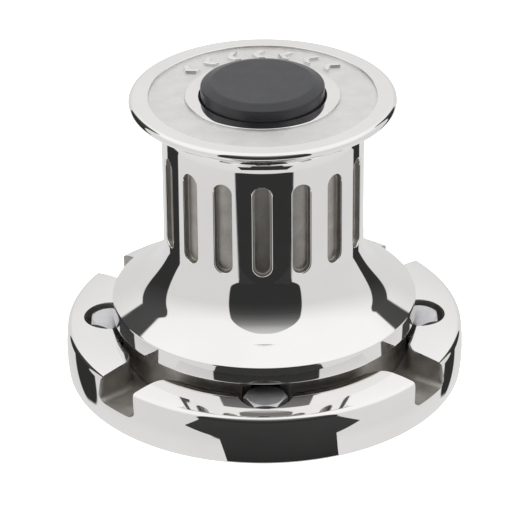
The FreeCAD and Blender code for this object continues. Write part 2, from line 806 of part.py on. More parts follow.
def make_drum():
    """Cast drum: skirt, flare, slotted barrel, lipped head with a sunk ring, direction marks and a pocket."""
    web_top = "web_bottom + web_thickness"
    hub = "shaft_upper + running_gap"
    skirt_inner = "skirt_radius - skirt_wall"
    neck_inner = "neck_radius - neck_wall"
    lip_bottom = "drum_top - lip_edge - lip_edge"
    skirt_side = "skirt_radius - skirt_crown"
    body = doc.addObject("PartDesign::Body", "drum_body")
    turned(body, "drum_turning", [
        (hub, "web_bottom"),
        (neck_inner, "web_bottom"),
        (neck_inner, "neck_bottom - 2"),
        (f"{skirt_inner} - skirt_wall - 2", "skirt_top - 2", "tangent"),
        (skirt_inner, "skirt_bottom + skirt_wall"),
        (skirt_inner, "skirt_bottom"),
        (f"{skirt_side} - skirt_edge", "skirt_bottom"),
        (skirt_side, "skirt_bottom + skirt_edge", "skirt_edge"),
        (skirt_side, "skirt_top - skirt_edge", "skirt_arc"),
        (f"{skirt_side} - skirt_edge", "skirt_top", "skirt_edge"),
        ("neck_radius + flare_bend", "skirt_top + flare_cone"),
        ("neck_radius", "neck_bottom", "tangent"),
        ("neck_radius", "neck_top"),
        ("lip_radius - lip_edge", lip_bottom, "tangent"),
        ("lip_radius", "drum_top - lip_edge", "lip_edge"),
        ("lip_radius - lip_edge", "drum_top", "lip_edge"),
        ("recess_outer", "drum_top"),
        ("recess_outer", "drum_top - recess_depth"),
        ("recess_inner", "drum_top - recess_depth"),
        ("recess_inner", "drum_top"),
        ("pocket_radius + mouth_edge", "drum_top"),
        ("pocket_radius", "drum_top - mouth_edge"),
        ("pocket_radius", "pocket_step"),
        ("pocket_lower", "pocket_step"),
        ("pocket_lower", web_top),
        (hub, web_top),
    ])
    ring_bottom = "pocket_step + guide_flange"
    grooved(body, "guide_ring_groove", ring(
        "pocket_lower", ring_bottom, "pocket_radius + ring_bite", f"{ring_bottom} + ring_thickness"
    ))
    grooved(body, "wiper_groove", ring(
        "pocket_lower", "wiper_bottom", "pocket_radius + wiper_bite", "wiper_bottom + wiper_height"
    ))
    slot = new_sketch(body, "XZ_Plane", "slot_outline")
    draw(slot, [
        ("slot_half_width", "slot_bottom + slot_half_width", "tangent"),
        ("slot_half_width", "slot_top - slot_half_width"),
        ("- slot_half_width", "slot_top - slot_half_width", "tangent"),
        ("- slot_half_width", "slot_bottom + slot_half_width"),
    ])
    slot.AttachmentOffset = FreeCAD.Placement(FreeCAD.Vector(), FreeCAD.Rotation(UP_IN_SKETCH, 1))
    bind(slot, ".AttachmentOffset.Base.x", "neck_radius * sin( slot_turn * 1deg )")
    bind(slot, ".AttachmentOffset.Base.z", "neck_radius * cos( slot_turn * 1deg )")
    bind(slot, ".AttachmentOffset.Rotation.Angle", "slot_turn * 1deg")
    cut = body.newObject("PartDesign::Pocket", "slot_pocket")
    cut.Profile = slot
    cut.Type = "Length"
    bind(cut, "Length", "slot_depth")
    body.Tip = cut
    around(body, cut, "slots", "slot_count")
    mark = new_sketch(body, "XY_Plane", "mark_outline")
    middle = "- mark_middle"
    draw(mark, [
        ("- mark_half_width", "- mark_inner"),
        ("mark_lean - mark_half_width", middle),
        ("- mark_half_width", "- mark_outer"),
        ("mark_half_width", "- mark_outer"),
        ("mark_lean + mark_half_width", middle),
        ("mark_half_width", "- mark_inner"),
    ])
    bind(mark, ".AttachmentOffset.Base.z", "drum_top - recess_depth")
    bind(mark, ".AttachmentOffset.Rotation.Angle", "( 180 - mark_spread / 2 ) * 1deg")
    raised = body.newObject("PartDesign::Pad", "mark_pad")
    raised.Profile = mark
    bind(raised, "Length", "recess_depth - running_gap")
    body.Tip = raised
    around(body, raised, "marks", "mark_count", "mark_spread")
    hub_key = key_block("hub_keyway", "running_gap")
    bind(hub_key, "Height", "web_thickness + 2")
    bind(hub_key, ".Placement.Base.z", "web_bottom - 1")
    return finish_piece(cut_by("drum_keyed", body, hub_key), "drum")


def make_clamp():
    """Washer and thin nut that hold the drum on its seat, and the key that drives it."""
    web_top = "web_bottom + web_thickness"
    bore = "thread_radius + running_gap"
    turned_piece("clamp_washer", ring(bore, web_top, "clamp_radius", f"{web_top} + clamp_thickness"))
    hexagon = doc.addObject("Part::Prism", "nut_hexagon")
    hexagon.Polygon = 6
    bind(hexagon, "Circumradius", "nut_flats / cos(30deg)")
    bind(hexagon, "Height", "nut_height")
    bind(hexagon, ".Placement.Base.z", f"{web_top} + clamp_thickness")
    eye = cylinder("nut_bore", bore, web_top, f"{web_top} + clamp_thickness + nut_height + 1")
    finish_piece(cut_by("nut", hexagon, eye), "drum_nut")
    finish_piece(key_block("key_bar", "0"), "drum_key")


def make_button_guide():
    """Cup that guides the button and holds its spring, the ring that keeps it in, and the wiper seal."""
    flange_top = "pocket_step + guide_flange"
    bore = "rod_radius + clear_gap"
    turned_piece("button_guide", [
        (bore, "pocket_step"),
        ("pocket_radius - running_gap", "pocket_step"),
        ("pocket_radius - running_gap", flange_top),
        ("guide_radius", flange_top),
        ("guide_radius", "guide_top"),
        ("guide_radius - guide_wall", "guide_top"),
        ("guide_radius - guide_wall", flange_top),
        (bore, flange_top),
    ])
    split_ring("guide_ring", "pocket_radius - ring_stand", flange_top,
               "pocket_radius + ring_bite - running_gap", f"{flange_top} + ring_thickness", "ring_opening")
    turned_piece("button_wiper", ring("button_radius + clear_gap", "wiper_bottom",
                                      "pocket_radius + wiper_bite", "wiper_bottom + wiper_height"))


def make_button():
    """Dished plastic cap on a push rod, with the rod's retaining clip."""
    skirt_inner = "guide_radius + clear_gap"
    ceiling = "button_top - button_crown"
    side_top = "button_top - button_chamfer"
    turned_piece("button_cap", [
        (skirt_inner, "button_bottom"),
        ("button_radius", "button_bottom"),
        ("button_radius", f"{side_top} - button_edge"),
        ("button_radius - button_edge", side_top, "button_edge"),
        ("button_flat", "button_top"),
        ("0", "button_top"),
        ("0", ceiling),
        (skirt_inner, ceiling),
    ])
    head_bottom = f"{ceiling} - rod_head_height"
    clip_top = "pocket_step"
    clip_bottom = "pocket_step - rod_clip_thickness"
    neck = "rod_radius - rod_clip_bite"
    turned_piece("push_rod", [
        ("0", "rod_bottom"),
        ("rod_radius", "rod_bottom"),
        ("rod_radius", clip_bottom),
        (neck, clip_bottom),
        (neck, clip_top),
        ("rod_radius", clip_top),
        ("rod_radius", head_bottom),
        ("rod_head", head_bottom),
        ("rod_head", ceiling),
        ("0", ceiling),
    ])
    split_ring("rod_clip", f"{neck} + running_gap", clip_bottom, "rod_clip_outer", clip_top,
               "rod_clip_opening")


def make_button_spring():
    """Compression spring between the guide's floor and the push rod's head."""
    floor = "pocket_step + guide_flange"
    height = f"button_top - button_crown - rod_head_height - ( {floor} ) - 2 * spring_wire"
    body = new_body("button_spring")
    wire = new_sketch(body, "XZ_Plane", "spring_section")
    centre = FreeCAD.Vector(amount("spring_radius"), amount(f"{floor} + spring_wire"), 0)
    circle = Part.Circle(centre, FreeCAD.Vector(0, 0, 1), amount("spring_wire"))
    section = wire.addGeometry(circle, False)
    hold(wire, "DistanceX", section, 3, "spring_radius")
    hold(wire, "DistanceY", section, 3, f"{floor} + spring_wire")
    size = wire.addConstraint(Sketcher.Constraint("Radius", section, amount("spring_wire")))
    wire.setExpression(f"Constraints[{size}]", formula("spring_wire"))
    coil = body.newObject("PartDesign::AdditiveHelix", "spring_coil")
    coil.Profile = wire
    coil.ReferenceAxis = (wire, ["V_Axis"])
    coil.Mode = "pitch-height-angle"
    bind(coil, "Height", height)
    bind(coil, "Pitch", f"( {height} ) / spring_turns")
    body.Tip = coil


def check(item):
    """Stops the build if an object failed or a piece is no valid solid."""
    if any(word in item.State for word in ("Invalid", "Error")):
        raise RuntimeError(f"{item.Name} failed: {item.State}")


def export_all():
    doc.recompute()
    for item in doc.Objects:
        check(item)
    os.makedirs("parts", exist_ok=True)
    for item in pieces:
        shape = item.Shape
        if shape.isNull() or not shape.isValid() or not shape.Solids:
            raise RuntimeError(f"{item.Label}: no valid solid")
    for item in pieces:
        item.Shape.exportStep(f"parts/{item.Label}.step")
        print(f"{item.Label}: {len(item.Shape.Solids)} solid(s), {item.Shape.Volume / 1000.0:.2f} cm3")


make_deck_plate()
make_housing()
make_housing_bolts()
make_ball_bearing()
make_bearing_trim()
make_main_shaft()
make_drum()
make_clamp()
make_button_guide()
make_button()
make_button_spring()
export_all()
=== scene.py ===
# %% [markdown]
# # A vertical rope capstan, piece by piece
# This file rebuilds the visible pieces of a small deck capstan around a fixed engineering model. The
# engineering model gives every place and overall size; this file gives the finish. Each step first says
# what the piece is on the real machine, how it could be made in Blender, and why this way was chosen.

# %% Load the fixed frame
import bmesh
import bpy
import math
from mathutils import Matrix, Vector


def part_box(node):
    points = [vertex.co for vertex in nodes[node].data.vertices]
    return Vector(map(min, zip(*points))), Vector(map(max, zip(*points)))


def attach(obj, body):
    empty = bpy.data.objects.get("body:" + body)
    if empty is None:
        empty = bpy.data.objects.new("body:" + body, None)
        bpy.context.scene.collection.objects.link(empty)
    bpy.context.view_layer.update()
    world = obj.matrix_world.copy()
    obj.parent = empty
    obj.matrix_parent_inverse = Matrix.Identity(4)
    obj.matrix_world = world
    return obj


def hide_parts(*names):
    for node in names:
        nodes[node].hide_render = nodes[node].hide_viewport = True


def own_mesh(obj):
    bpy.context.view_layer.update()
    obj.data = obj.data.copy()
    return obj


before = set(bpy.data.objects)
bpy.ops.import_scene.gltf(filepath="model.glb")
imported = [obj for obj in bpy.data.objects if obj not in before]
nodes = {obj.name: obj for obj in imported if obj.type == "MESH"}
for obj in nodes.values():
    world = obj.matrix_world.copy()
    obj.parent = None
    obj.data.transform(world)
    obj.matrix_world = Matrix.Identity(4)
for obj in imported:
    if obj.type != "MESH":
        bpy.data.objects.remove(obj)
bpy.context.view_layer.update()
MM = 0.001
print("nodes in the frame:", len(nodes))

# %% [markdown]
# ## Sizes read from the frame
# A capstan is a stack of turned pieces on one axis, so a piece is known by its radii and heights. The
# overall ones are read from the boxes of the engineering nodes, and the small ones, such as an edge's
# rounding, are named here in millimetres.

# %% Heights and radii in millimetres


def height_of(node):
    low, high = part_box(node)
    return low[2] / MM, high[2] / MM


def radius_of(node):
    low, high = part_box(node)
    return (high[0] - low[0]) / 2.0 / MM


DRUM_BOTTOM, DRUM_TOP = height_of("drum")
SKIRT_RADIUS = radius_of("drum")
PLATE_TOP = height_of("deck_plate")[1]
PLATE_RADIUS = 90.0
BUTTON_BOTTOM, BUTTON_TOP = height_of("button_cap")
BUTTON_RADIUS = radius_of("button_cap")
WASHER_BOTTOM, WASHER_TOP = height_of("bolt_washers")
HEAD_TOP = height_of("housing_bolts")[1]
BOLT_CIRCLE = 70.0
WASHER_RADIUS = radius_of("bolt_washers") - BOLT_CIRCLE
print("drum", DRUM_BOTTOM, DRUM_TOP, SKIRT_RADIUS, "plate", PLATE_TOP, PLATE_RADIUS)

# %% [markdown]
# ## Turning a profile
# Most pieces come off a lathe or out of a round mould. Blender's Screw modifier or bmesh's spin could turn
# a profile, but a mirror finish shows every error in the normals. So the profile is turned here by hand:
# each stretch of it carries its own finish, arcs are sampled finely, and every straight stretch gets a
# holding ring close to each end, which keeps the rounding of an edge from bending the flat beside it.

# %% Profile helpers
ROUND_STEPS = 256
HOLD = 0.12


def arc(centre, radius, start, end, count):
    """Points on an arc in the (radius, height) plane; angles in degrees, 0 outwards and 90 up."""
    points = []
    for index in range(count + 1):
        angle = math.radians(start + (end - start) * index / count)
        points.append((centre[0] + radius * math.cos(angle), centre[1] + radius * math.sin(angle)))
    return points


def held(points):
    """Adds holding points near both ends of every straight stretch longer than a millimetre."""
    result = [points[0]]
    for first, last in zip(points, points[1:]):
        length = math.dist(first, last)
        if length > 1.0:
            for part in (HOLD / length, 1.0 - HOLD / length):
                result.append(tuple(a + (b - a) * part for a, b in zip(first, last)))
        result.append(last)
    return result


def lathe(name, stretches, closed=True, steps=ROUND_STEPS):
    """Turns stretches of profile about +Z into a mesh. A stretch is (points, material number)."""
    profile = []
    finishes = []
    for points, finish in stretches:
        points = held(points)
        start = 1 if profile and math.dist(profile[-1], points[0]) < 1e-6 else 0
        for index in range(start, len(points)):
            if profile:
                finishes.append(finish)
            profile.append(points[index])
    if closed:
        if math.dist(profile[0], profile[-1]) < 1e-6:
            profile.pop()
        else:
            finishes.append(stretches[0][1])
    count = len(profile)
    vertices = []
    rings = []
    for radius, height in profile:
        if radius < 1e-6:
            rings.append([len(vertices)] * steps)
            vertices.append((0.0, 0.0, height * MM))
            continue
        rings.append(list(range(len(vertices), len(vertices) + steps)))
        for step in range(steps):
            angle = 2.0 * math.pi * step / steps
            vertices.append((radius * MM * math.sin(angle), -radius * MM * math.cos(angle), height * MM))
    faces = []
    slots = []
    for index in range(count if closed else count - 1):
        low, high = rings[index], rings[(index + 1) % count]
        if low[0] == low[1] and high[0] == high[1]:
            continue
        for step in range(steps):
            after = (step + 1) % steps
            corners = [low[step], low[after], high[after], high[step]]
            face = [c for number, c in enumerate(corners) if c not in corners[:number]]
            faces.append(face)
            slots.append(finishes[index])
    mesh = bpy.data.meshes.new(name)
    mesh.from_pydata(vertices, [], faces)
    mesh.polygons.foreach_set("material_index", slots)
    mesh.shade_smooth()
    return mesh


def placed(name, data):
    """A new object at the scene's origin."""
    item = bpy.data.objects.new(name, data)
    bpy.context.scene.collection.objects.link(item)
    return item


def piece_from(name, mesh, materials):
    """A scene object at the origin that shows a mesh in the given finishes."""
    for material in materials:
        mesh.materials.append(material)
    item = placed(name, mesh)
    print(name, "faces:", len(mesh.polygons))
    return item


def mesh_of(bm, name):
    """A new mesh from a bmesh, which is freed."""
    mesh = bpy.data.meshes.new(name)
    bm.to_mesh(mesh)
    bm.free()
    return mesh


def plain_mesh(item, name):
    """The item's evaluated geometry as a plain mesh on a new object, without empty material slots. The
    old object is removed."""
    bpy.context.view_layer.update()
    graph = bpy.context.evaluated_depsgraph_get()
    mesh = bpy.data.meshes.new_from_object(item.evaluated_get(graph), depsgraph=graph)
    bpy.data.objects.remove(item)
    kept = [material for material in mesh.materials if material]
    places = [kept.index(material) if material else 0 for material in mesh.materials]
    numbers = [places[face.material_index] for face in mesh.polygons]
    mesh.materials.clear()
    for material in kept:
        mesh.materials.append(material)
    mesh.polygons.foreach_set("material_index", numbers)
    mesh.name = name
    return placed(name, mesh)


def open_edges(item):
    """How many edges of a mesh have no face on both sides."""
    bm = bmesh.new()
    bm.from_mesh(item.data)
    count = sum(1 for edge in bm.edges if len(edge.link_faces) != 2)
    bm.free()
    return count


# %% [markdown]
# ## Finishes
# Mirror-polished cast stainless has almost no colour of its own: what is seen is the studio. What gives it
# away as real metal is slight. The polish is a little uneven, so its roughness drifts; the very low, long
# ripple that the buffing wheel leaves is not modelled. The unpolished castings are the same alloy with a
# gritty skin. All patterns read Object coordinates, so they stay on the piece when it turns.

# %% Node helpers
BROAD_SHARE, BROAD_DETAIL = 12.0, 3.0
NOISE_LOW, NOISE_HIGH = 0.3, 0.7
RAMP_LOW, RAMP_HIGH = 0.35, 0.65


def new_material(name):
    material = bpy.data.materials.new(name)
    material.use_nodes = True
    return material, material.node_tree, material.node_tree.nodes["Principled BSDF"]


def object_noise(tree, scale, detail, stretch=(1.0, 1.0, 1.0)):
    """A noise pattern on Object coordinates, in metres; stretch squeezes it along an axis."""
    place = tree.nodes.new("ShaderNodeTexCoord")
    mapping = tree.nodes.new("ShaderNodeMapping")
    mapping.inputs["Scale"].default_value = stretch
    noise = tree.nodes.new("ShaderNodeTexNoise")
    noise.inputs["Scale"].default_value = scale
    noise.inputs["Detail"].default_value = detail
    tree.links.new(place.outputs["Object"], mapping.inputs["Vector"])
    tree.links.new(mapping.outputs["Vector"], noise.inputs["Vector"])
    return noise.outputs["Fac"]


def ranged(tree, value, low, high):
    """Maps the used part of a noise value onto low..high."""
    node = tree.nodes.new("ShaderNodeMapRange")
    node.inputs["From Min"].default_value = NOISE_LOW
    node.inputs["From Max"].default_value = NOISE_HIGH
    node.inputs["To Min"].default_value = low
    node.inputs["To Max"].default_value = high
    tree.links.new(value, node.inputs["Value"])
    return node.outputs["Result"]


def coloured(tree, value, dark, light):
    """A colour between dark and light, chosen by a value."""
    ramp = tree.nodes.new("ShaderNodeValToRGB")
    for element, place, colour in zip(ramp.color_ramp.elements, (RAMP_LOW, RAMP_HIGH), (dark, light)):
        element.position = place
        element.color = (*colour, 1.0)
    tree.links.new(value, ramp.inputs["Fac"])
    return ramp.outputs["Color"]


def bumped(tree, value, depth, shader):
    """Adds a bump of a real depth, in metres, to a shader."""
    bump = tree.nodes.new("ShaderNodeBump")
    bump.inputs["Distance"].default_value = depth
    bump.inputs["Strength"].default_value = 1.0
    tree.links.new(value, bump.inputs["Height"])
    tree.links.new(bump.outputs["Normal"], shader.inputs["Normal"])


def finish(name, dark, light, rough, grain, bump_depth, metallic=1.0, detail=4.0, stretch=(1, 1, 1)):
    """A finish with drifting colour and roughness and a fine bump. rough is (least, most)."""
    material, tree, shader = new_material(name)
    shader.inputs["Metallic"].default_value = metallic
    broad = object_noise(tree, grain / BROAD_SHARE, BROAD_DETAIL)
    fine = object_noise(tree, grain, detail, stretch)
    tree.links.new(coloured(tree, broad, dark, light), shader.inputs["Base Color"])
    tree.links.new(ranged(tree, fine, *rough), shader.inputs["Roughness"])
    if bump_depth:
        bumped(tree, fine, bump_depth, shader)
    return material


# %% The finishes of this capstan
polished_steel = finish(
    "polished_steel", (0.87, 0.86, 0.85), (0.92, 0.91, 0.90), (0.02, 0.05), 180.0, 0.0
)
cast_steel = finish(
    "cast_steel", (0.46, 0.44, 0.41), (0.62, 0.60, 0.56), (0.42, 0.62), 1400.0, 0.00006, detail=6.0
)
sunk_steel = finish(
    "sunk_steel", (0.80, 0.79, 0.78), (0.85, 0.84, 0.83), (0.50, 0.60), 1600.0, 0.00001, detail=5.0
)
slot_steel = finish(
    "slot_steel", (0.44, 0.42, 0.39), (0.54, 0.52, 0.48), (0.40, 0.55), 1500.0, 0.00004, detail=5.0
)
bolt_steel = finish(
    "bolt_steel", (0.62, 0.62, 0.64), (0.76, 0.76, 0.78), (0.45, 0.58), 900.0, 0.000008
)
bearing_steel = finish(
    "bearing_steel", (0.70, 0.70, 0.72), (0.78, 0.78, 0.80), (0.08, 0.16), 600.0, 0.000002
)
turned_steel = finish(
    "turned_steel", (0.52, 0.52, 0.53), (0.64, 0.64, 0.65), (0.20, 0.34), 260.0, 0.000006,
    stretch=(0.15, 0.15, 12.0),
)
spring_steel = finish(
    "spring_steel", (0.30, 0.30, 0.32), (0.42, 0.42, 0.44), (0.25, 0.38), 700.0, 0.000004
)
bearing_bronze = finish(
    "bearing_bronze", (0.55, 0.36, 0.17), (0.68, 0.47, 0.25), (0.22, 0.36), 500.0, 0.000006
)
seal_rubber = finish(
    "seal_rubber", (0.012, 0.012, 0.012), (0.024, 0.023, 0.022), (0.55, 0.75), 900.0, 0.00001,
    metallic=0.0,
)
guide_plastic = finish(
    "guide_plastic", (0.74, 0.72, 0.67), (0.82, 0.80, 0.75), (0.35, 0.5), 700.0, 0.000004, metallic=0.0
)
button_plastic = finish(
    "button_plastic", (0.034, 0.035, 0.040), (0.044, 0.045, 0.051), (0.30, 0.40), 1500.0, 0.000006,
    metallic=0.0, detail=5.0,
)
print("finishes:", len(bpy.data.materials))

# %% [markdown]
# ## Repeating a piece about the axis
# Slots, balls, bolts and cast marks all repeat about the capstan's axis. They could be copied in a loop,
# but a Geometry Nodes tree keeps the count and the angles as inputs that can be changed later. The tree
# makes one point per copy on the axis, stands an instance of the first piece on each point and turns it
# by its number. Realize Instances then makes it one real mesh, and Merge by Distance closes the seams
# where neighbours meet.

# %% The pattern tree


def new_tree(name, inputs):
    """An empty Geometry Nodes tree, its (name, kind, value) inputs made, and its input and output nodes."""
    tree = bpy.data.node_groups.new(name, "GeometryNodeTree")
    for title, kind, value in (("Geometry", "Geometry", None), *inputs):
        socket = tree.interface.new_socket(title, in_out="INPUT", socket_type="NodeSocket" + kind)
        if value is not None:
            socket.default_value = value
    tree.interface.new_socket("Geometry", in_out="OUTPUT", socket_type="NodeSocketGeometry")
    return tree, tree.nodes.new("NodeGroupInput"), tree.nodes.new("NodeGroupOutput")


def wire(tree, *links):
    """Links nodes; each link is (node, output, node, input)."""
    for start, output, end, socket in links:
        tree.links.new(start.outputs[output], end.inputs[socket])


def grown(name, mesh, tree, values):
    """A new object: what a Geometry Nodes tree makes of a mesh and values, as one plain mesh."""
    seed = placed(name + "_seed", mesh)
    modifier = seed.modifiers.new("tree", "NODES")
    modifier.node_group = tree
    for socket in tree.interface.items_tree:
        if socket.in_out == "INPUT" and socket.name in values:
            modifier[socket.identifier] = values[socket.name]
    return plain_mesh(seed, name)


def pattern_tree():
    """Geometry Nodes: copies of the incoming mesh, turned about +Z, realized and finished."""
    tree, given, result = new_tree("around_the_axis", (
        ("Count", "Int", 4), ("First Turn", "Float", 0.0), ("Step", "Float", 90.0),
        ("Seam", "Float", 0.00001), ("Finish", "Material", None), ("Second Finish", "Material", None),
    ))
    make = tree.nodes.new
    points = make("GeometryNodeMeshLine")
    points.inputs["Offset"].default_value = (0.0, 0.0, 0.0)
    number = make("GeometryNodeInputIndex")
    turn = make("ShaderNodeMath")
    turn.operation = "MULTIPLY_ADD"
    radians = make("ShaderNodeMath")
    radians.operation = "RADIANS"
    spin = make("ShaderNodeCombineXYZ")
    copies = make("GeometryNodeInstanceOnPoints")
    real = make("GeometryNodeRealizeInstances")
    seams = make("GeometryNodeMergeByDistance")
    mark = make("GeometryNodeInputNamedAttribute")
    mark.data_type = "BOOLEAN"
    mark.inputs["Name"].default_value = "second_finish"
    first = make("GeometryNodeSetMaterial")
    second = make("GeometryNodeSetMaterial")
    wire(
        tree,
        (given, "Count", points, "Count"),
        (points, "Mesh", copies, "Points"),
        (given, "Geometry", copies, "Instance"),
        (number, "Index", turn, 0),
        (given, "Step", turn, 1),
        (given, "First Turn", turn, 2),
        (turn, "Value", radians, 0),
        (radians, "Value", spin, "Z"),
        (spin, "Vector", copies, "Rotation"),
        (copies, "Instances", real, "Geometry"),
        (real, "Geometry", seams, "Geometry"),
        (given, "Seam", seams, "Distance"),
        (seams, "Geometry", first, "Geometry"),
        (given, "Finish", first, "Material"),
        (first, "Geometry", second, "Geometry"),
        (mark, "Attribute", second, "Selection"),
        (given, "Second Finish", second, "Material"),
        (second, "Geometry", result, "Geometry"),
    )
    return tree


PATTERN = pattern_tree()


def mark_second(mesh, faces):
    """Marks the faces that take the second finish."""
    flags = mesh.attributes.new("second_finish", "BOOLEAN", "FACE")
    flags.data.foreach_set("value", faces)


def repeated(name, mesh, count, finish_one, finish_two=None, first_turn=0.0, spread=360.0):
    """A new object: the mesh repeated about +Z over the spread, as one plain mesh."""
    item = grown(name, mesh, PATTERN, {
        "Count": count,
        "First Turn": first_turn,
        "Step": spread / count if spread == 360.0 else spread / (count - 1),
        "Finish": finish_one,
        "Second Finish": finish_two or finish_one,
    })
    shown = [material.name for material in item.data.materials]
    print(name, "copies:", count, "faces:", len(item.data.polygons), "finishes:", shown)
    return item


# %% [markdown]
# ## The drum's barrel and its sixteen slots
# The barrel is a plain cylinder with sixteen round-ended pockets that grip the rope. Cutting them with a
# Boolean leaves ragged shading in a mirror finish. Instead one sixteenth of the barrel is laid out as
# rings of points: they start on the sector's edge, close in on the slot's round-ended outline, roll over
# its edge, go down the wall and cross the floor. The pattern tree repeats the sector about the axis.

# %% One sector of the barrel
NECK_RADIUS = 44.9
SLOT_COUNT = 16
SLOT_HALF = 4.15
SLOT_LOW, SLOT_HIGH = 68.6, 111.9
SLOT_DEPTH = 2.8
SLOT_TURN = -1.0
SLOT_EDGE = 0.55
SLOT_FILLET = 0.8
BAND_LOW, BAND_HIGH = 66.5, 114.0
TOP_CELLS = ROUND_STEPS // SLOT_COUNT
SIDE_CELLS = 26
EDGE_CELLS = 4
BORDER_SHARES = (1.0, 0.75, 0.5, 0.28, 0.12, 0.03)


def sector_border():
    """(across, up) points round the sector, and for each the matching (spine height, direction)."""
    half = math.radians(180.0 / SLOT_COUNT) * NECK_RADIUS
    low, high = SLOT_LOW + SLOT_HALF, SLOT_HIGH - SLOT_HALF
    border = []
    for cells, first, last in (
        (SIDE_CELLS, (half, BAND_LOW, low, 0.0), (half, BAND_HIGH, high, 0.0)),
        (TOP_CELLS, (half, BAND_HIGH, high, 0.0), (-half, BAND_HIGH, high, math.pi)),
        (SIDE_CELLS, (-half, BAND_HIGH, high, math.pi), (-half, BAND_LOW, low, math.pi)),
        (TOP_CELLS, (-half, BAND_LOW, low, math.pi), (half, BAND_LOW, low, 2.0 * math.pi)),
    ):
        for cell in range(cells):
            across, up, spine, way = (a + (b - a) * cell / cells for a, b in zip(first, last))
            border.append(((across, up), (spine, way)))
    return border


def slot_rings():
    """(share of the way out to the border, distance outside the outline, depth, finish) for each ring."""
    rings = [(share, SLOT_EDGE, 0.0, 0) for share in BORDER_SHARES]
    for cell in range(EDGE_CELLS + 1):
        angle = math.pi / 2.0 * cell / EDGE_CELLS
        out = SLOT_EDGE * (1.0 - math.sin(angle))
        rings.append((0.0, out, SLOT_EDGE * (1.0 - math.cos(angle)), 0))
    wall = SLOT_DEPTH - SLOT_FILLET
    rings.append((0.0, 0.0, SLOT_EDGE + HOLD, 1))
    for cell in range(EDGE_CELLS + 1):
        angle = math.pi / 2.0 * cell / EDGE_CELLS
        out = -SLOT_FILLET * (1.0 - math.cos(angle))
        rings.append((0.0, out, wall + SLOT_FILLET * math.sin(angle), 1))
    rings += [(0.0, -SLOT_FILLET - HOLD, SLOT_DEPTH, 1), (0.0, -SLOT_HALF * 0.6, SLOT_DEPTH, 1)]
    rings.append((0.0, -SLOT_HALF, SLOT_DEPTH, 1))
    return rings


def barrel_sector():
    border = sector_border()
    vertices = []
    faces = []
    second = []
    rings = slot_rings()
    count = len(border)
    for share, out, depth, _ in rings:
        for (across, up), (spine, way) in border:
            near_across = (SLOT_HALF + out) * math.cos(way)
            near_up = spine + (SLOT_HALF + out) * math.sin(way)
            flat_across = near_across + (across - near_across) * share
            flat_up = near_up + (up - near_up) * share
            angle = flat_across / NECK_RADIUS
            radius = (NECK_RADIUS - depth) * MM
            vertices.append((radius * math.sin(angle), -radius * math.cos(angle), flat_up * MM))
    for ring in range(len(rings) - 1):
        for cell in range(count):
            after = (cell + 1) % count
            low, high = ring * count, (ring + 1) * count
            faces.append([low + cell, low + after, high + after, high + cell])
            second.append(rings[ring + 1][3] == 1)
    mesh = bpy.data.meshes.new("barrel_sector")
    mesh.from_pydata(vertices, [], faces)
    mesh.shade_smooth()
    mark_second(mesh, second)
    return mesh


barrel = repeated("barrel_band", barrel_sector(), SLOT_COUNT, polished_steel, slot_steel)

# %% [markdown]
# ## The rest of the drum
# Below the barrel a concave flare sweeps out to the skirt, and above it a small hollow curve runs out to
# the rounded lip. The head has a sunk ring of unpolished metal between two polished lands, and the pocket
# for the button. Everything here is round, so it is one turned profile that starts and ends on the band's
# border, and the two meshes are joined along it.

# %% Turn the drum's skirt, flare, head and hollow
LIP_RADIUS = 59.0
LIP_EDGE = 2.1
HEAD_CURVE = 12.0
NECK_TOP = 119.0
FLARE_TOP = 65.0
FLARE_TURN = 60.0
SKIRT_TOP = 36.15
SKIRT_LEAN = 0.3
RECESS_OUTER, RECESS_INNER = 50.35, 34.2
RECESS_DEPTH = 1.2
POCKET_RADIUS, POCKET_LOWER, POCKET_STEP = 28.0, 25.5, 121.4
WEB_LOW, WEB_HIGH = 90.0, 106.0
HUB_RADIUS = 14.05
NECK_INNER = 37.9
SKIRT_WALL = 2.9
SKIRT_INNER = SKIRT_RADIUS - SKIRT_WALL
INNER_END, INNER_DROP = 4.9, 2.0
TOP_CORNER, FOOT_CORNER = 0.45, 0.7
MOUTH_EDGE, LAND_EDGE, SUNK_CORNER = 0.5, 0.35, 0.4
RING_GROOVE = (124.4, 126.0, 29.4)
WIPER_GROOVE = (132.4, 134.0, 29.2)


def tangent_arc(start, end, count):
    """An arc that leaves start straight down and swings outwards to end."""
    out = end[0] - start[0]
    fall = start[1] - end[1]
    radius = (out * out + fall * fall) / (2.0 * out)
    sweep = math.degrees(math.asin(min(1.0, fall / radius)))
    return arc((start[0] + radius, start[1]), radius, 180.0, 180.0 + sweep, count)


def flare_points(start, end, turn, count):
    """Straight down from start, round an arc of the given turn, then a straight cone out to end."""
    out, fall = end[0] - start[0], start[1] - end[1]
    sine, cosine = math.sin(math.radians(turn)), math.cos(math.radians(turn))
    cone = out * sine / (1.0 - cosine) - fall
    radius = (fall - cone * cosine) / sine
    return arc((start[0] + radius, start[1]), radius, 180.0, 180.0 + turn, count) + [end]


def soft_corner(before, corner, after, size, count=4):
    """Points that round a corner of a profile, size along each side."""
    points = []
    for index in range(count + 1):
        t = index / count
        one = [c + (b - c) * size / math.dist(before, corner) for b, c in zip(before, corner)]
        two = [c + (a - c) * size / math.dist(after, corner) for a, c in zip(after, corner)]
        points.append(
            tuple((1 - t) ** 2 * p + 2 * t * (1 - t) * c + t * t * q for p, c, q in zip(one, corner, two))
        )
    return points


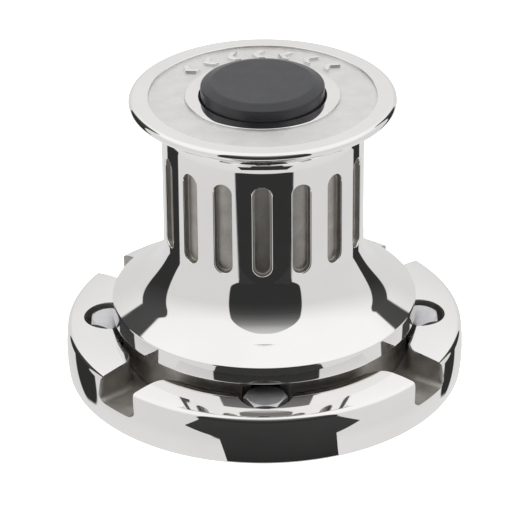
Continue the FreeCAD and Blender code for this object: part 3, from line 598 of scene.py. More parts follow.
def drum_profile():
    """Stretches from the band's lower border down, inside, up the pocket and back over the head."""
    skirt_top = (SKIRT_RADIUS - SKIRT_LEAN, SKIRT_TOP)
    skirt_foot = (SKIRT_RADIUS, DRUM_BOTTOM)
    flare = flare_points((NECK_RADIUS, FLARE_TOP), skirt_top, FLARE_TURN, 48)
    outside = [(NECK_RADIUS, BAND_LOW)] + flare[:-1]
    outside += soft_corner(flare[-2], skirt_top, skirt_foot, TOP_CORNER, 5)
    outside += soft_corner(skirt_top, skirt_foot, (SKIRT_INNER, DRUM_BOTTOM), FOOT_CORNER, 6)
    under = [outside[-1], (SKIRT_INNER, DRUM_BOTTOM), (SKIRT_INNER, DRUM_BOTTOM + SKIRT_WALL)]
    inner_end = (SKIRT_INNER - INNER_END, SKIRT_TOP - INNER_DROP)
    inner_flare = tangent_arc((NECK_INNER, FLARE_TOP - INNER_DROP), inner_end, 24)
    hollow = under + inner_flare[::-1] + [(NECK_INNER, WEB_LOW), (HUB_RADIUS, WEB_LOW)]
    bore = [(HUB_RADIUS, WEB_LOW), (HUB_RADIUS, WEB_HIGH)]
    pocket = [
        bore[-1],
        (POCKET_LOWER, WEB_HIGH),
        (POCKET_LOWER, POCKET_STEP),
        (POCKET_RADIUS, POCKET_STEP),
        (POCKET_RADIUS, RING_GROOVE[0]),
        (RING_GROOVE[2], RING_GROOVE[0]),
        (RING_GROOVE[2], RING_GROOVE[1]),
        (POCKET_RADIUS, RING_GROOVE[1]),
        (POCKET_RADIUS, WIPER_GROOVE[0]),
        (WIPER_GROOVE[2], WIPER_GROOVE[0]),
        (WIPER_GROOVE[2], WIPER_GROOVE[1]),
        (POCKET_RADIUS, WIPER_GROOVE[1]),
        (POCKET_RADIUS, DRUM_TOP - MOUTH_EDGE),
    ]
    mouth = arc((POCKET_RADIUS + MOUTH_EDGE, DRUM_TOP - MOUTH_EDGE), MOUTH_EDGE, 180.0, 90.0, 5)
    inner_land = mouth + arc((RECESS_INNER - LAND_EDGE, DRUM_TOP - LAND_EDGE), LAND_EDGE, 90.0, 0.0, 4)
    floor = DRUM_TOP - RECESS_DEPTH
    sunk = [inner_land[-1]]
    sunk += arc((RECESS_INNER + SUNK_CORNER, floor + SUNK_CORNER), SUNK_CORNER, 180.0, 270.0, 4)
    sunk += arc((RECESS_OUTER - SUNK_CORNER, floor + SUNK_CORNER), SUNK_CORNER, 270.0, 360.0, 4)
    outer_land = arc((RECESS_OUTER + LAND_EDGE, DRUM_TOP - LAND_EDGE), LAND_EDGE, 180.0, 90.0, 4)
    sunk.append(outer_land[0])
    lip = arc((LIP_RADIUS - LIP_EDGE, DRUM_TOP - LIP_EDGE), LIP_EDGE, 90.0, -90.0, 24)
    under_lip = arc((LIP_RADIUS - LIP_EDGE, NECK_TOP), HEAD_CURVE, 90.0, 180.0, 24)
    head = outer_land + lip + under_lip + [(NECK_RADIUS, BAND_HIGH)]
    return [(outside, 0), (hollow, 1), (bore, 1), (pocket, 1), (inner_land, 0), (sunk, 2), (head, 0)]


shell = lathe(
    "drum_shell", [(points[::-1], number) for points, number in drum_profile()[::-1]], closed=False
)

# %% Join the barrel to the rest, and give the barrel's wall true round normals


def welded(name, items, distance=0.000004):
    """Joins objects that share borders into one mesh, keeping their finishes."""
    bm = bmesh.new()
    materials = []
    for item in items:
        start = len(bm.faces)
        bm.from_mesh(item.data)
        bm.faces.ensure_lookup_table()
        for material in item.data.materials:
            if material not in materials:
                materials.append(material)
        places = [materials.index(material) for material in item.data.materials]
        for face in bm.faces[start:]:
            face.material_index = places[face.material_index]
    bmesh.ops.remove_doubles(bm, verts=bm.verts, dist=distance)
    mesh = mesh_of(bm, name)
    mesh.shade_smooth()
    for item in items:
        bpy.data.objects.remove(item)
    return piece_from(name, mesh, materials)


def true_normals(item, rule):
    """Gives faces their surface's true normals. The rule takes a point in millimetres, and a face on a
    known surface is one whose corners all get a normal from it that its own normal nearly agrees with."""
    mesh = item.data
    known = [rule(vertex.co / MM) for vertex in mesh.vertices]
    corners = [corner.vector.copy() for corner in mesh.corner_normals]
    for face in mesh.polygons:
        found = [known[number] for number in face.vertices]
        if any(normal is None or normal.dot(face.normal) < 0.98 for normal in found):
            continue
        for loop, normal in zip(face.loop_indices, found):
            corners[loop] = normal
    mesh.normals_split_custom_set(corners)


def barrel_normal(point):
    out = math.hypot(point.x, point.y)
    if abs(out - NECK_RADIUS) > 0.0005 or not BAND_LOW < point.z < BAND_HIGH:
        return None
    return Vector((point.x / out, point.y / out, 0.0))


shell_item = piece_from("drum_shell", shell, [polished_steel, cast_steel, sunk_steel])
drum = welded("drum_skin", [shell_item, barrel])
true_normals(drum, barrel_normal)
drum.data.transform(Matrix.Rotation(math.radians(SLOT_TURN), 4, "Z"))
print("open edges:", open_edges(drum))

# %% [markdown]
# ## Direction marks at the back of the sunk ring
# Seven small raised arrows run round the back of the sunk ring and show which way the drum hauls. They
# are cast with it and left bright on top. One arrow is a bevelled bar bent at its middle; the pattern
# tree repeats it over the arc the marks fill. Modelled relief is used, not a bump, because the low camera
# catches its edges.

# %% The marks
MARK_COUNT = 7
MARK_SPREAD = 96.0
MARK_FIRST = 180.0 - MARK_SPREAD / 2.0
MARK_HALF, MARK_LEAN = 1.5, 3.0
MARK_RINGS = (38.2, 42.0, 45.8)
MARK_TOP = DRUM_TOP - 0.05
MARK_FOOT = DRUM_TOP - RECESS_DEPTH - 0.2
MARK_BEVEL = 0.3


def prism(outline, low, high):
    """A bmesh of an outline of (x, y) millimetres raised from one height to another."""
    bm = bmesh.new()
    foot, top = ([bm.verts.new((x * MM, y * MM, z * MM)) for x, y in outline] for z in (low, high))
    bm.faces.new(foot)
    bm.faces.new(top[::-1])
    for index in range(len(outline)):
        after = (index + 1) % len(outline)
        bm.faces.new([foot[after], foot[index], top[index], top[after]])
    bmesh.ops.recalc_face_normals(bm, faces=bm.faces)
    return bm


def mark_mesh():
    inner, middle, outer = MARK_RINGS
    outline = [
        (-MARK_HALF, inner), (MARK_HALF, inner), (MARK_LEAN + MARK_HALF, middle),
        (MARK_HALF, outer), (-MARK_HALF, outer), (MARK_LEAN - MARK_HALF, middle),
    ]
    bm = prism([(x, -y) for x, y in outline], MARK_FOOT, MARK_TOP)
    edges = [e for e in bm.edges if max(v.co.z for v in e.verts) > (MARK_TOP - 0.01) * MM]
    bmesh.ops.bevel(bm, geom=edges, offset=MARK_BEVEL * MM, segments=3, profile=0.5, affect="EDGES")
    return mesh_of(bm, "mark")


marks = repeated(
    "direction_marks", mark_mesh(), MARK_COUNT, polished_steel,
    first_turn=MARK_FIRST, spread=MARK_SPREAD,
)

# %% [markdown]
# ## Deck plate
# The plate is a polished ring round the foot of the drum. Its top edge rolls into the wall, a channel
# runs round under the drum's skirt, four wide drains lead out of the channel through the rim, and four
# round counterbores hold the bolts. It is turned from a profile first. The drains and counterbores are
# cut with an exact Boolean, a narrow bevel gives the cut edges the same soft roll as the polishing wheel
# leaves, and the wall's true normals are put back so the mirror stays even beside the cuts.

# %% Turn the plate
CHANNEL_RADIUS = 69.3
CHANNEL_FLOOR = 11.0
SEAT_RADIUS, SEAT_TOP = 79.2, 7.5
BOSS_SEAT = 65.0
WALL_CROWN = 0.6
WALL_RADIUS = PLATE_RADIUS - WALL_CROWN
FOOT_EDGE, CHANNEL_CORNER = 1.0, 3.0
SHOULDER = 2.5
TOP_LEAN = 8.0
TOP_FALL = 1.25
TOP_ARC = 129.0
SHOULDER_Z = PLATE_TOP - TOP_FALL - SHOULDER * math.cos(math.radians(TOP_LEAN))
EDGE_ROLL = 0.45
SEAL_INNER, SEAL_OUTER, SEAL_DEPTH = 82.5, 86.5, 2.5
WALL_ARC = 81.0
WALL_MIDDLE = (FOOT_EDGE + SHOULDER_Z) / 2.0
WALL_CENTRE = WALL_RADIUS - math.sqrt(WALL_ARC ** 2 - (SHOULDER_Z - WALL_MIDDLE) ** 2)


def wall_points(count=16):
    """The wall's slight crown, from its foot up to the shoulder."""
    reach = math.degrees(math.asin((SHOULDER_Z - WALL_MIDDLE) / WALL_ARC))
    return arc((WALL_CENTRE, WALL_MIDDLE), WALL_ARC, -reach, reach, count)


def top_points(count=24):
    """The plate's top: flat at the channel, falling more and more towards the shoulder."""
    return arc((CHANNEL_RADIUS, PLATE_TOP - TOP_ARC), TOP_ARC, 90.0, 90.0 - TOP_LEAN, count)


def plate_profile():
    foot = arc((WALL_RADIUS - FOOT_EDGE, FOOT_EDGE), FOOT_EDGE, -90.0, 0.0, 5)
    shoulder = arc((WALL_RADIUS - SHOULDER, SHOULDER_Z), SHOULDER, 0.0, 90.0 - TOP_LEAN, 12)
    under = [
        (SEAL_OUTER, 0.0), (SEAL_OUTER, SEAL_DEPTH), (SEAL_INNER, SEAL_DEPTH), (SEAL_INNER, 0.0),
        (SEAT_RADIUS, 0.0), (SEAT_RADIUS, SEAT_TOP), (BOSS_SEAT, SEAT_TOP), (BOSS_SEAT, CHANNEL_FLOOR),
    ]
    corner_centre = (CHANNEL_RADIUS - CHANNEL_CORNER, CHANNEL_FLOOR + CHANNEL_CORNER)
    corner = arc(corner_centre, CHANNEL_CORNER, 270.0, 360.0, 8)
    lip = arc((CHANNEL_RADIUS + EDGE_ROLL, PLATE_TOP - EDGE_ROLL), EDGE_ROLL, 180.0, 90.0, 5)
    outside = foot + wall_points()[1:] + shoulder[1:]
    top = [point for point in top_points() if point[0] > lip[-1][0] + 0.1]
    return [
        (outside, 0),
        (top[::-1] + [lip[-1]], 0),
        (lip[::-1], 0),
        ([lip[0], corner[-1]], 1),
        (corner[::-1] + under[::-1], 1),
        ([under[0], foot[0]], 1),
    ]


plate_blank = piece_from(
    "plate_blank", lathe("plate_blank", plate_profile()), [polished_steel, cast_steel]
)

# %% Cut the drains and the counterbores
DRAIN_HALF, DRAIN_CORNER, DRAIN_MOUTH = 10.25, 3.0, 10.0
DRAIN_END, DRAIN_ROLL, ROLL_CELLS = 2.0, 0.9, 4
BORE_ROLL = 0.5
DRAIN_TURNS = (-47.5, 54.5, 132.5, 234.5)
BORE_RADIUS, BORE_FLOOR = 12.0, 15.0
BOLT_HOLE = 5.3
CUT_CLEAR = 2.0


def drain_cutter(turn):
    """A prism of one drain's plan, its mouth flared into the channel and its lower corners rolled."""
    touch = math.sqrt((CHANNEL_RADIUS + DRAIN_MOUTH) ** 2 - (DRAIN_HALF + DRAIN_MOUTH) ** 2)
    centre = (DRAIN_HALF + DRAIN_MOUTH, touch)
    first = math.degrees(math.atan2(-centre[1], -centre[0]))
    outer = PLATE_RADIUS - DRAIN_END
    end_centre = (DRAIN_HALF + DRAIN_END, math.sqrt(outer ** 2 - (DRAIN_HALF + DRAIN_END) ** 2))
    last = math.degrees(math.atan2(end_centre[1], end_centre[0]))
    layers = [(-DRAIN_ROLL, PLATE_TOP + CUT_CLEAR)]
    layers += arc((-DRAIN_ROLL, PLATE_TOP - DRAIN_ROLL), DRAIN_ROLL, 90.0, 0.0, ROLL_CELLS)
    for point in arc((DRAIN_CORNER, CHANNEL_FLOOR + DRAIN_CORNER), DRAIN_CORNER, 180.0, 270.0, 8):
        layers.append((point[0], point[1] + 0.02))
    bm = bmesh.new()
    rings = []
    for inset, height in layers:
        mouth = arc(centre, DRAIN_MOUTH + inset, first, -180.0, 20)
        end = arc(end_centre, DRAIN_END + inset, 180.0, last, 8)
        side = (end[-1][0] + 4.0, PLATE_RADIUS + 6.0)
        inside = (mouth[0][0] - 2.0, mouth[0][1] - 2.0)
        half = [inside] + mouth + end + [side]
        outline = half + [(-across, out) for across, out in half[::-1]]
        rings.append([bm.verts.new((across * MM, -out * MM, height * MM)) for across, out in outline])
    count = len(rings[0])
    for number, (high, low) in enumerate(zip(rings, rings[1:])):
        for index in range(count):
            after = (index + 1) % count
            face = bm.faces.new([high[index], high[after], low[after], low[index]])
            face.material_index = 1 if number <= ROLL_CELLS else 0
    bm.faces.new(rings[0][::-1])
    bm.faces.new(rings[-1])
    bmesh.ops.recalc_face_normals(bm, faces=bm.faces)
    mesh = mesh_of(bm, "drain_cutter")
    mesh.transform(Matrix.Rotation(math.radians(turn), 4, "Z"))
    return mesh


def bore_cutter(turn):
    pocket = [(0.0, 1.0), (BOLT_HOLE, 1.0), (BOLT_HOLE, BORE_FLOOR), (BORE_RADIUS, BORE_FLOOR)]
    roll = arc((BORE_RADIUS + BORE_ROLL, PLATE_TOP - BORE_ROLL), BORE_ROLL, 180.0, 90.0, 4)
    above = [roll[-1], (BORE_RADIUS + BORE_ROLL, PLATE_TOP + CUT_CLEAR), (0.0, PLATE_TOP + CUT_CLEAR)]
    pocket.append(roll[0])
    mesh = lathe("bore_cutter", [(pocket, 0), (roll, 1), (above, 1)], closed=False, steps=96)
    mesh.transform(Matrix.Translation((0.0, -BOLT_CIRCLE * MM, 0.0)))
    mesh.transform(Matrix.Rotation(math.radians(turn), 4, "Z"))
    return mesh


def cut_with(item, meshes, finishes):
    """Cuts closed meshes out of an item with an exact Boolean; the cut takes the cutters' finishes."""
    bm = bmesh.new()
    for mesh in meshes:
        bm.from_mesh(mesh)
    cutter = piece_from("cutters", mesh_of(bm, "cutters"), finishes)
    modifier = item.modifiers.new("cut", "BOOLEAN")
    modifier.object = cutter
    modifier.solver = "EXACT"
    modifier.material_mode = "TRANSFER"
    result = plain_mesh(item, item.name + "_cut")
    bpy.data.objects.remove(cutter)
    return result


def sharp_over(item, degrees):
    """Marks the edges that are real corners, so that smooth shading stops there."""
    bm = bmesh.new()
    bm.from_mesh(item.data)
    for face in bm.faces:
        face.smooth = True
    for edge in bm.edges:
        edge.smooth = edge.calc_face_angle(0.0) < math.radians(degrees)
    bm.to_mesh(item.data)
    bm.free()


plate_cutters = [drain_cutter(turn) for turn in DRAIN_TURNS]
plate_cutters += [bore_cutter(turn) for turn in (0.0, 90.0, 180.0, 270.0)]
deck_plate = cut_with(plate_blank, plate_cutters, [cast_steel, polished_steel])
sharp_over(deck_plate, 35.0)
print("deck plate faces:", len(deck_plate.data.polygons), "open edges:", open_edges(deck_plate))

# %% Put back the plate's true normals


def plate_normal(point):
    """The true normal on the plate's crowned wall, its shoulder and its gently falling top."""
    out = math.hypot(point.x, point.y)
    for middle_out, middle_up, radius, low, high in (
        (WALL_CENTRE, WALL_MIDDLE, WALL_ARC, FOOT_EDGE - 0.01, SHOULDER_Z + 0.01),
        (WALL_RADIUS - SHOULDER, SHOULDER_Z, SHOULDER, SHOULDER_Z - 0.01, PLATE_TOP - TOP_FALL),
        (CHANNEL_RADIUS, PLATE_TOP - TOP_ARC, TOP_ARC, PLATE_TOP - TOP_FALL - 0.01, PLATE_TOP - 0.002),
    ):
        away = Vector((out - middle_out, point.z - middle_up))
        if low <= point.z <= high and abs(away.length - radius) < 0.02:
            away.normalize()
            return Vector((point.x / out * away.x, point.y / out * away.x, away.y))
    return None


true_normals(deck_plate, plate_normal)

# %% [markdown]
# ## Housing bolts and washers
# Four hexagon screws hold the ring to the housing. A real head is a hexagon bar with its top corners
# turned off by a 30 degree cone, which leaves a round flat top and curved corners. The same is done here:
# a hexagon prism is intersected with a turned cone, and the pattern tree puts the four in place. The
# washers are turned rings with broken edges.

# %% Bolt heads and washers
FLATS, FLAT_INSET = 8.5, 0.35
HEAD_FOOT = WASHER_TOP
SHANK_RADIUS, SHANK_END, SHANK_CHAMFER = 5.0, 1.0, 0.5
WASHER_EDGE = 0.25


def bolt_mesh():
    across_corners = FLATS / math.cos(math.radians(30.0))
    turns = [math.radians(60.0 * step) for step in range(6)]
    outline = [(across_corners * math.cos(turn), across_corners * math.sin(turn)) for turn in turns]
    head = piece_from("bolt_head", mesh_of(prism(outline, HEAD_FOOT, HEAD_TOP), "bolt_prism"), [bolt_steel])
    wide, flat = across_corners + 1.0, FLATS - FLAT_INSET
    drop = (wide - flat) * math.tan(math.radians(30.0))
    cone = [(0.0, HEAD_FOOT - 1.0), (wide, HEAD_FOOT - 1.0)]
    cone += [(wide, HEAD_TOP - drop), (flat, HEAD_TOP), (0.0, HEAD_TOP)]
    cutter = piece_from("cone", lathe("cone", [(cone, 0)], closed=False, steps=96), [bolt_steel])
    modifier = head.modifiers.new("cone", "BOOLEAN")
    modifier.object = cutter
    modifier.operation = "INTERSECT"
    modifier.solver = "EXACT"
    head = plain_mesh(head, "bolt_head")
    bpy.data.objects.remove(cutter)
    shank = [(0.0, SHANK_END), (SHANK_RADIUS - SHANK_CHAMFER, SHANK_END)]
    shank += [(SHANK_RADIUS, SHANK_END + SHANK_CHAMFER), (SHANK_RADIUS, HEAD_FOOT), (0.0, HEAD_FOOT)]
    bm = bmesh.new()
    bm.from_mesh(head.data)
    bm.from_mesh(lathe("shank", [(shank, 0)], closed=False, steps=32))
    mesh = mesh_of(bm, "bolt")
    bpy.data.objects.remove(head)
    mesh.transform(Matrix.Translation((0.0, -BOLT_CIRCLE * MM, 0.0)))
    return mesh


bolts = repeated("bolt_set", bolt_mesh(), 4, bolt_steel)
sharp_over(bolts, 24.0)


def washer_mesh():
    rim = WASHER_RADIUS - WASHER_EDGE
    profile = [
        (BOLT_HOLE, WASHER_BOTTOM), (rim, WASHER_BOTTOM), (WASHER_RADIUS, WASHER_BOTTOM + WASHER_EDGE),
        (WASHER_RADIUS, WASHER_TOP - WASHER_EDGE), (rim, WASHER_TOP), (BOLT_HOLE, WASHER_TOP),
    ]
    mesh = lathe("washer", [(profile, 0)], steps=96)
    mesh.transform(Matrix.Translation((0.0, -BOLT_CIRCLE * MM, 0.0)))
    return mesh


washers = repeated("washer_set", washer_mesh(), 4, turned_steel)
sharp_over(washers, 30.0)

# %% [markdown]
# ## Push button
# The button is a moulded cap of hard dark plastic: a plain skirt, a chamfered rim and a flat, matt top.
# It is turned from a profile with small rounded corners, which is how its mould would be made. The rubber
# wiper that fills the gap round it is a turned ring too.

# %% Turn the cap and the wiper
CAP_WALL_IN = 22.9
CAP_FLAT = 22.6
CAP_CEILING = BUTTON_TOP - 3.0
CAP_CHAMFER = 1.8
CAP_FOOT_CORNER, CAP_SIDE_CORNER, CAP_RIM_CORNER = 0.3, 0.7, 0.6
WIPER_INNER, WIPER_OUTER = 27.6, 29.2


def cap_profile():
    side = (BUTTON_RADIUS, BUTTON_TOP - CAP_CHAMFER)
    rim = (CAP_FLAT, BUTTON_TOP)
    foot = (BUTTON_RADIUS, BUTTON_BOTTOM)
    start = (CAP_WALL_IN, BUTTON_BOTTOM)
    outside = [start] + soft_corner(start, foot, side, CAP_FOOT_CORNER)
    outside += soft_corner(foot, side, rim, CAP_SIDE_CORNER, 6)
    outside += soft_corner(side, rim, (0.0, BUTTON_TOP), CAP_RIM_CORNER, 6)
    top = [outside[-1], (0.0, BUTTON_TOP)]
    inside = [(0.0, CAP_CEILING), (CAP_WALL_IN, CAP_CEILING), start]
    return outside, top, inside


cap_outside, cap_top, cap_inside = cap_profile()
button = piece_from(
    "push_button",
    lathe("push_button", [(cap_outside, 0), (cap_top, 0), (cap_inside, 0)], closed=False),
    [button_plastic],
)
sharp_over(button, 40.0)
WIPER_LOW, WIPER_HIGH = height_of("button_wiper")
wiper_profile = [(WIPER_INNER, WIPER_LOW), (WIPER_OUTER, WIPER_LOW)]
wiper_profile += [(WIPER_OUTER, WIPER_HIGH), (WIPER_INNER, WIPER_HIGH)]
wiper = piece_from("wiper_ring", lathe("wiper_ring", [(wiper_profile, 0)]), [seal_rubber])
sharp_over(wiper, 40.0)
print("button", BUTTON_BOTTOM, BUTTON_TOP, BUTTON_RADIUS, "wiper", WIPER_LOW, WIPER_HIGH)

# %% [markdown]
# ## Bearing balls and button spring
# These pieces are hidden when the capstan is whole, but they turn with it. The nine balls
# are one sphere repeated by the pattern tree. The spring is wire wound on a spiral: a small Geometry Nodes
# tree sweeps a round section along a Spiral curve, which is simpler and more even than a Screw modifier.

# %% The balls
BALL_COUNT, BALL_CIRCLE, BALL_RADIUS = 9, 30.0, 5.94


def ball_mesh():
    low, high = height_of("bearing_balls")
    bm = bmesh.new()
    bmesh.ops.create_uvsphere(bm, u_segments=32, v_segments=16, radius=BALL_RADIUS * MM)
    bmesh.ops.translate(bm, verts=bm.verts, vec=(0.0, -BALL_CIRCLE * MM, (low + high) / 2.0 * MM))
    mesh = mesh_of(bm, "ball")
    mesh.shade_smooth()
    return mesh


balls = repeated("ball_ring", ball_mesh(), BALL_COUNT, bearing_steel)

# %% The spring
SPRING_LOW, SPRING_HIGH = height_of("button_spring")
SPRING_RADIUS, SPRING_WIRE, SPRING_TURNS = 7.0, 0.68, 4.0
SPRING_GAP = 0.02


def spring_tree():
    """Geometry Nodes: a round wire swept along a spiral, standing on the guide's floor."""
    sizes = (("Radius", 7.0), ("Height", 14.0), ("Turns", 4.0), ("Wire", 0.7), ("Foot", 0.0))
    inputs = [(name, "Float", value) for name, value in sizes] + [("Finish", "Material", None)]
    tree, given, result = new_tree("wound_spring", inputs)
    make = tree.nodes.new
    spiral = make("GeometryNodeCurveSpiral")
    spiral.inputs["Resolution"].default_value = 40
    section = make("GeometryNodeCurvePrimitiveCircle")
    section.inputs["Resolution"].default_value = 12
    lift = make("ShaderNodeCombineXYZ")
    place = make("GeometryNodeTransform")
    sweep = make("GeometryNodeCurveToMesh")
    sweep.inputs["Fill Caps"].default_value = True
    real = make("GeometryNodeRealizeInstances")
    painted = make("GeometryNodeSetMaterial")
    wire(
        tree,
        (given, "Turns", spiral, "Rotations"),
        (given, "Radius", spiral, "Start Radius"),
        (given, "Radius", spiral, "End Radius"),
        (given, "Height", spiral, "Height"),
        (given, "Wire", section, "Radius"),
        (given, "Foot", lift, "Z"),
        (spiral, "Curve", place, "Geometry"),
        (lift, "Vector", place, "Translation"),
        (place, "Geometry", sweep, "Curve"),
        (section, "Curve", sweep, "Profile Curve"),
        (sweep, "Mesh", real, "Geometry"),
        (real, "Geometry", painted, "Geometry"),
        (given, "Finish", painted, "Material"),
        (painted, "Geometry", result, "Geometry"),
    )
    return tree


spring = grown("spring_coil", bpy.data.meshes.new("spring_seed"), spring_tree(), {
    "Radius": SPRING_RADIUS * MM,
    "Height": (SPRING_HIGH - SPRING_LOW - 2.0 * SPRING_WIRE - 2.0 * SPRING_GAP) * MM,
    "Turns": SPRING_TURNS,
    "Wire": SPRING_WIRE * MM,
    "Foot": (SPRING_LOW + SPRING_WIRE + SPRING_GAP) * MM,
    "Finish": spring_steel,
})
spring.data.shade_smooth()
print("spring faces:", len(spring.data.polygons), "heights:", SPRING_LOW, SPRING_HIGH)

# %% [markdown]
# ## Put every piece on its body
# Each piece now rides the CAD body it belongs to, and the engineering nodes it stands for are hidden. The
# engineering nodes that stay visible are plain machined pieces hidden inside, so they only get a finish.

# %% Ride and replace
PIECES = (
    (drum, "drum", "polished_steel", ("drum",)),
    (marks, "drum", "polished_steel", ()),
    (deck_plate, "base", "polished_steel", ("deck_plate",)),
    (bolts, "base", "bolt_steel", ("housing_bolts",)),
    (washers, "base", "bolt_steel", ("bolt_washers",)),
    (button, "button", "button_plastic", ("button_cap",)),
    (wiper, "drum", "seal_rubber", ("button_wiper",)),
    (balls, "ball_set", "bearing_steel", ("bearing_balls",)),
    (spring, "drum", "spring_steel", ("button_spring",)),
)
for item, body, slot_name, stands_for in PIECES:
    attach(item, body)
    if stands_for:
        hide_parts(*stands_for)
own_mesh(spring)

NODE_FINISHES = (
    (cast_steel, ("bearing_housing",)),
    (bearing_steel, ("bearing_outer_race", "bearing_inner_race", "bearing_balls")),
    (bearing_bronze, ("bearing_cage", "upper_bush")),
    (turned_steel, ("main_shaft", "push_rod", "drum_key")),
    (bolt_steel, ("clamp_washer", "drum_nut", "housing_bolts", "bolt_washers")),
    (spring_steel, ("housing_clip", "shaft_clip", "guide_ring", "rod_clip", "button_spring")),
    (seal_rubber, ("dust_seal", "shaft_seal", "deck_seal", "button_wiper")),
    (guide_plastic, ("thrust_washer", "button_guide")),
    (polished_steel, ("drum", "deck_plate")),
    (button_plastic, ("button_cap",)),
)
node_finish = {name: material for material, names in NODE_FINISHES for name in names}
for name, node in nodes.items():
    node.data.materials.clear()
    node.data.materials.append(node_finish[name])
    node.data.shade_smooth()
    sharp_over(node, 25.0)
print("pieces:", len(PIECES), "nodes finished:", len(nodes))

# %% [markdown]
# ## Floor and studio
# A polished drum is a mirror, so its look is the look of the room it stands in, here a white studio:
# bright white all round and above, one large dark panel behind the camera, and a narrow dark flag on each
# side. These could be real cards and lights, but a world shader that paints them by direction is free of
# noise and easy to adjust. Camera rays see a plain white backdrop instead.

# %% The world


class Painter:
    """Small helper that writes arithmetic as shader nodes."""

    def __init__(self, tree):
        self.tree = tree

    def math(self, kind, *values):
        node = self.tree.nodes.new("ShaderNodeMath")
        node.operation = kind
        for socket, value in zip(node.inputs, values):
            if isinstance(value, (int, float)):
                socket.default_value = value
            else:
                self.tree.links.new(value, socket)
        return node.outputs["Value"]

    def step(self, value, edge, soft):
        """0 below the edge and 1 above it, with a soft change."""
        node = self.tree.nodes.new("ShaderNodeMapRange")
        node.interpolation_type = "SMOOTHSTEP"
        node.inputs["From Min"].default_value = edge - soft
        node.inputs["From Max"].default_value = edge + soft
        self.tree.links.new(value, node.inputs["Value"])
        return node.outputs["Result"]

    def curve(self, value, low, high, stops):
        """A grey level that follows (value, level) stops between low and high."""
        span = self.math("DIVIDE", self.math("SUBTRACT", value, low), high - low)
        ramp = self.tree.nodes.new("ShaderNodeValToRGB")
        elements = ramp.color_ramp.elements
        for element, (_, level) in zip(elements, (stops[0], stops[-1])):
            element.color = (level, level, level, 1.0)
        for place, level in stops[1:-1]:
            elements.new((place - low) / (high - low)).color = (level, level, level, 1.0)
        self.tree.links.new(span, ramp.inputs["Fac"])
        return ramp.outputs["Color"]

    def mix(self, share, one, two):
        node = self.tree.nodes.new("ShaderNodeMix")
        node.data_type = "RGBA"
        self.tree.links.new(share, node.inputs["Factor"])
        for socket, value in ((node.inputs["A"], one), (node.inputs["B"], two)):
            if isinstance(value, tuple):
                socket.default_value = (*value, 1.0)
            else:
                self.tree.links.new(value, socket)
        return node.outputs["Result"]


def panel(paint, side, up, left, right, low, high, soft, round_corner):
    """1 inside a rounded rectangle of directions, 0 outside."""
    half_side, half_up = (right - left) / 2.0, (high - low) / 2.0
    off_side = paint.math("ABSOLUTE", paint.math("SUBTRACT", side, (left + right) / 2.0))
    off_up = paint.math("ABSOLUTE", paint.math("SUBTRACT", up, (low + high) / 2.0))
    out_side = paint.math("MAXIMUM", paint.math("SUBTRACT", off_side, half_side - round_corner), 0.0)
    out_up = paint.math("MAXIMUM", paint.math("SUBTRACT", off_up, half_up - round_corner), 0.0)
    squares = paint.math(
        "ADD", paint.math("MULTIPLY", out_side, out_side), paint.math("MULTIPLY", out_up, out_up)
    )
    inside = paint.step(paint.math("SQRT", squares), round_corner, soft)
    return paint.math("SUBTRACT", 1.0, inside)


def studio_world():
    world = bpy.data.worlds.new("studio")
    world.use_nodes = True
    tree = world.node_tree
    paint = Painter(tree)
    output = tree.nodes["World Output"]
    shade = tree.nodes["Background"]
    where = tree.nodes.new("ShaderNodeTexCoord")
    parts = tree.nodes.new("ShaderNodeSeparateXYZ")
    tree.links.new(where.outputs["Generated"], parts.inputs["Vector"])
    x, y, z = parts.outputs
    backwards = paint.math("MULTIPLY", y, -1.0)
    degrees = 180.0 / math.pi
    side = paint.math("MULTIPLY", paint.math("ARCTAN2", x, backwards), degrees)
    up = paint.math("MULTIPLY", paint.math("ARCSINE", z), degrees)
    white, black, flag = (
        paint.curve(up, -90.0, 90.0, levels) for levels in (WHITE_LEVELS, PANEL_LEVELS, FLAG_LEVELS)
    )
    front = paint.math(
        "MULTIPLY", panel(paint, side, up, *FRONT_BELOW), panel(paint, side, up, *FRONT_ABOVE)
    )
    shown = paint.mix(front, white, black)
    for flag_box in FLAGS:
        shown = paint.mix(panel(paint, side, up, *flag_box), shown, flag)
    tree.links.new(shown, shade.inputs["Color"])
    plain = tree.nodes.new("ShaderNodeBackground")
    plain.inputs["Color"].default_value = (*BACKDROP, 1.0)
    rays = tree.nodes.new("ShaderNodeLightPath")
    choice = tree.nodes.new("ShaderNodeMixShader")
    tree.links.new(rays.outputs["Is Camera Ray"], choice.inputs["Fac"])
    tree.links.new(shade.outputs["Background"], choice.inputs[1])
    tree.links.new(plain.outputs["Background"], choice.inputs[2])
    tree.links.new(choice.outputs["Shader"], output.inputs["Surface"])
    bpy.context.scene.world = world


BACKDROP = (1.0, 1.0, 1.0)
# Directions in degrees: left, right, low, high, soft edge and corner radius. The front panel is where the
# first two overlap.
FRONT_BELOW = (-37.5, 39.5, -30.4, 150.0, 0.6, 14.0)
FRONT_ABOVE = (-37.5, 39.5, -150.0, 68.0, 0.6, 33.0)
FLAGS = ((-140.0, -112.0, -34.0, 42.0, 0.6, 10.0), (124.0, 141.0, -34.0, 38.0, 0.6, 6.0))
WHITE_LEVELS = (
    (-90.0, 0.84), (-35.0, 0.78), (-30.0, 0.74), (15.0, 0.74), (25.0, 0.82), (35.0, 0.92), (45.0, 1.0),
    (90.0, 1.02),
)
PANEL_LEVELS = (
    (-90.0, 0.031), (10.0, 0.033), (20.0, 0.042), (30.0, 0.065), (40.0, 0.13), (50.0, 0.26), (58.0, 0.48),
    (67.0, 0.93),
)
FLAG_LEVELS = ((-90.0, 0.03), (5.0, 0.032), (15.0, 0.045), (35.0, 0.07), (42.0, 0.09))
studio_world()
print("world:", bpy.context.scene.world.name)

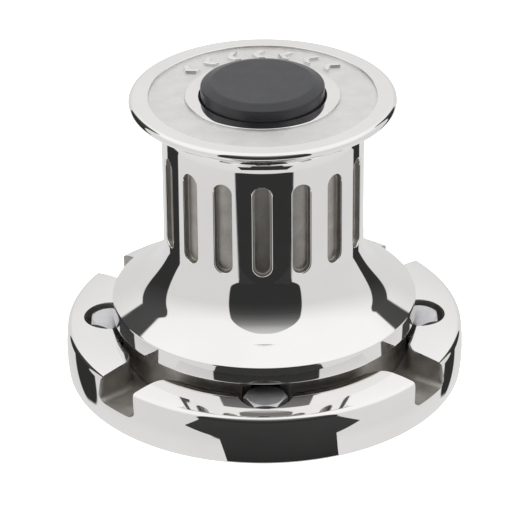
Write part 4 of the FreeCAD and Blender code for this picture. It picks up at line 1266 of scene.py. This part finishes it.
# %% The floor, and a dark card in front of the plate that only reflections see
FLOOR_REACH = 6.0
FLOOR_HEIGHT, CARD_HEIGHT = -0.0002, -0.0001


def level_sheet(name, corners, height, material):
    mesh = bpy.data.meshes.new(name)
    mesh.from_pydata([(x, y, height) for x, y in corners], [], [list(range(len(corners)))])
    item = piece_from(name, mesh, [material])
    return item


floor_paint = finish("floor_paint", (0.93, 0.93, 0.93), (0.95, 0.95, 0.95), (0.8, 0.9), 3.0, 0.0, 0.0)
floor_glow = floor_paint.node_tree.nodes["Principled BSDF"]
floor_glow.inputs["Emission Color"].default_value = (1.0, 1.0, 1.0, 1.0)
floor_glow.inputs["Emission Strength"].default_value = 1.0
card_black = finish("card_black", (0.028, 0.028, 0.028), (0.034, 0.034, 0.034), (0.9, 1.0), 30.0, 0.0, 0.0)
floor_corners = [(FLOOR_REACH * x, FLOOR_REACH * y) for x, y in ((-1, -1), (1, -1), (1, 1), (-1, 1))]
floor = level_sheet("floor", floor_corners, FLOOR_HEIGHT, floor_paint)
floor.visible_glossy = False
CARD_TOUCH = PLATE_RADIUS + 0.2
CARD_FOOT = (-11, 21)
CARD_LEFT = ((-31.0, -109.0), (-61.5, -108.0), (-70.0, -160.0))
CARD_RIGHT = ((75.0, -160.0), (70.5, -101.0), (46.2, -102.6))
card_corners = []
for turn in range(CARD_FOOT[0], CARD_FOOT[1] + 1, 2):
    angle = math.radians(turn)
    card_corners.append((CARD_TOUCH * math.sin(angle), -CARD_TOUCH * math.cos(angle)))
card_corners += CARD_RIGHT[::-1] + CARD_LEFT[::-1]
card = level_sheet("floor_card", [(x * MM, y * MM) for x, y in card_corners], CARD_HEIGHT, card_black)
card.visible_camera = False
card.visible_diffuse = False
card.visible_shadow = False

# %% [markdown]
# ## Camera
# A long lens a metre and a half away looks down at about 29 degrees. The place and the lens were found by
# fitting the rings of the capstan to what a camera would see; the lens is long, so rings look almost like
# plain ellipses.

# %% Camera and colour
camera_data = bpy.data.cameras.new("camera")
camera_data.lens = 232.9
camera_data.sensor_width = 36.0
camera = placed("camera", camera_data)
AIM = Vector((-0.0040, 0.0, 0.0549))
FAR, TILT, ROLL = 1.4854, math.radians(28.77), math.radians(-0.55)
camera.location = AIM + Vector((0.0, -FAR * math.cos(TILT), FAR * math.sin(TILT)))
turned = Matrix.Rotation(math.pi / 2.0 - TILT, 3, "X") @ Matrix.Rotation(ROLL, 3, "Z")
camera.rotation_euler = turned.to_euler()
camera_data.clip_end = 50.0
bpy.context.scene.camera = camera
bpy.context.scene.view_settings.view_transform = "Standard"
print("camera at", [round(value, 4) for value in camera.location])
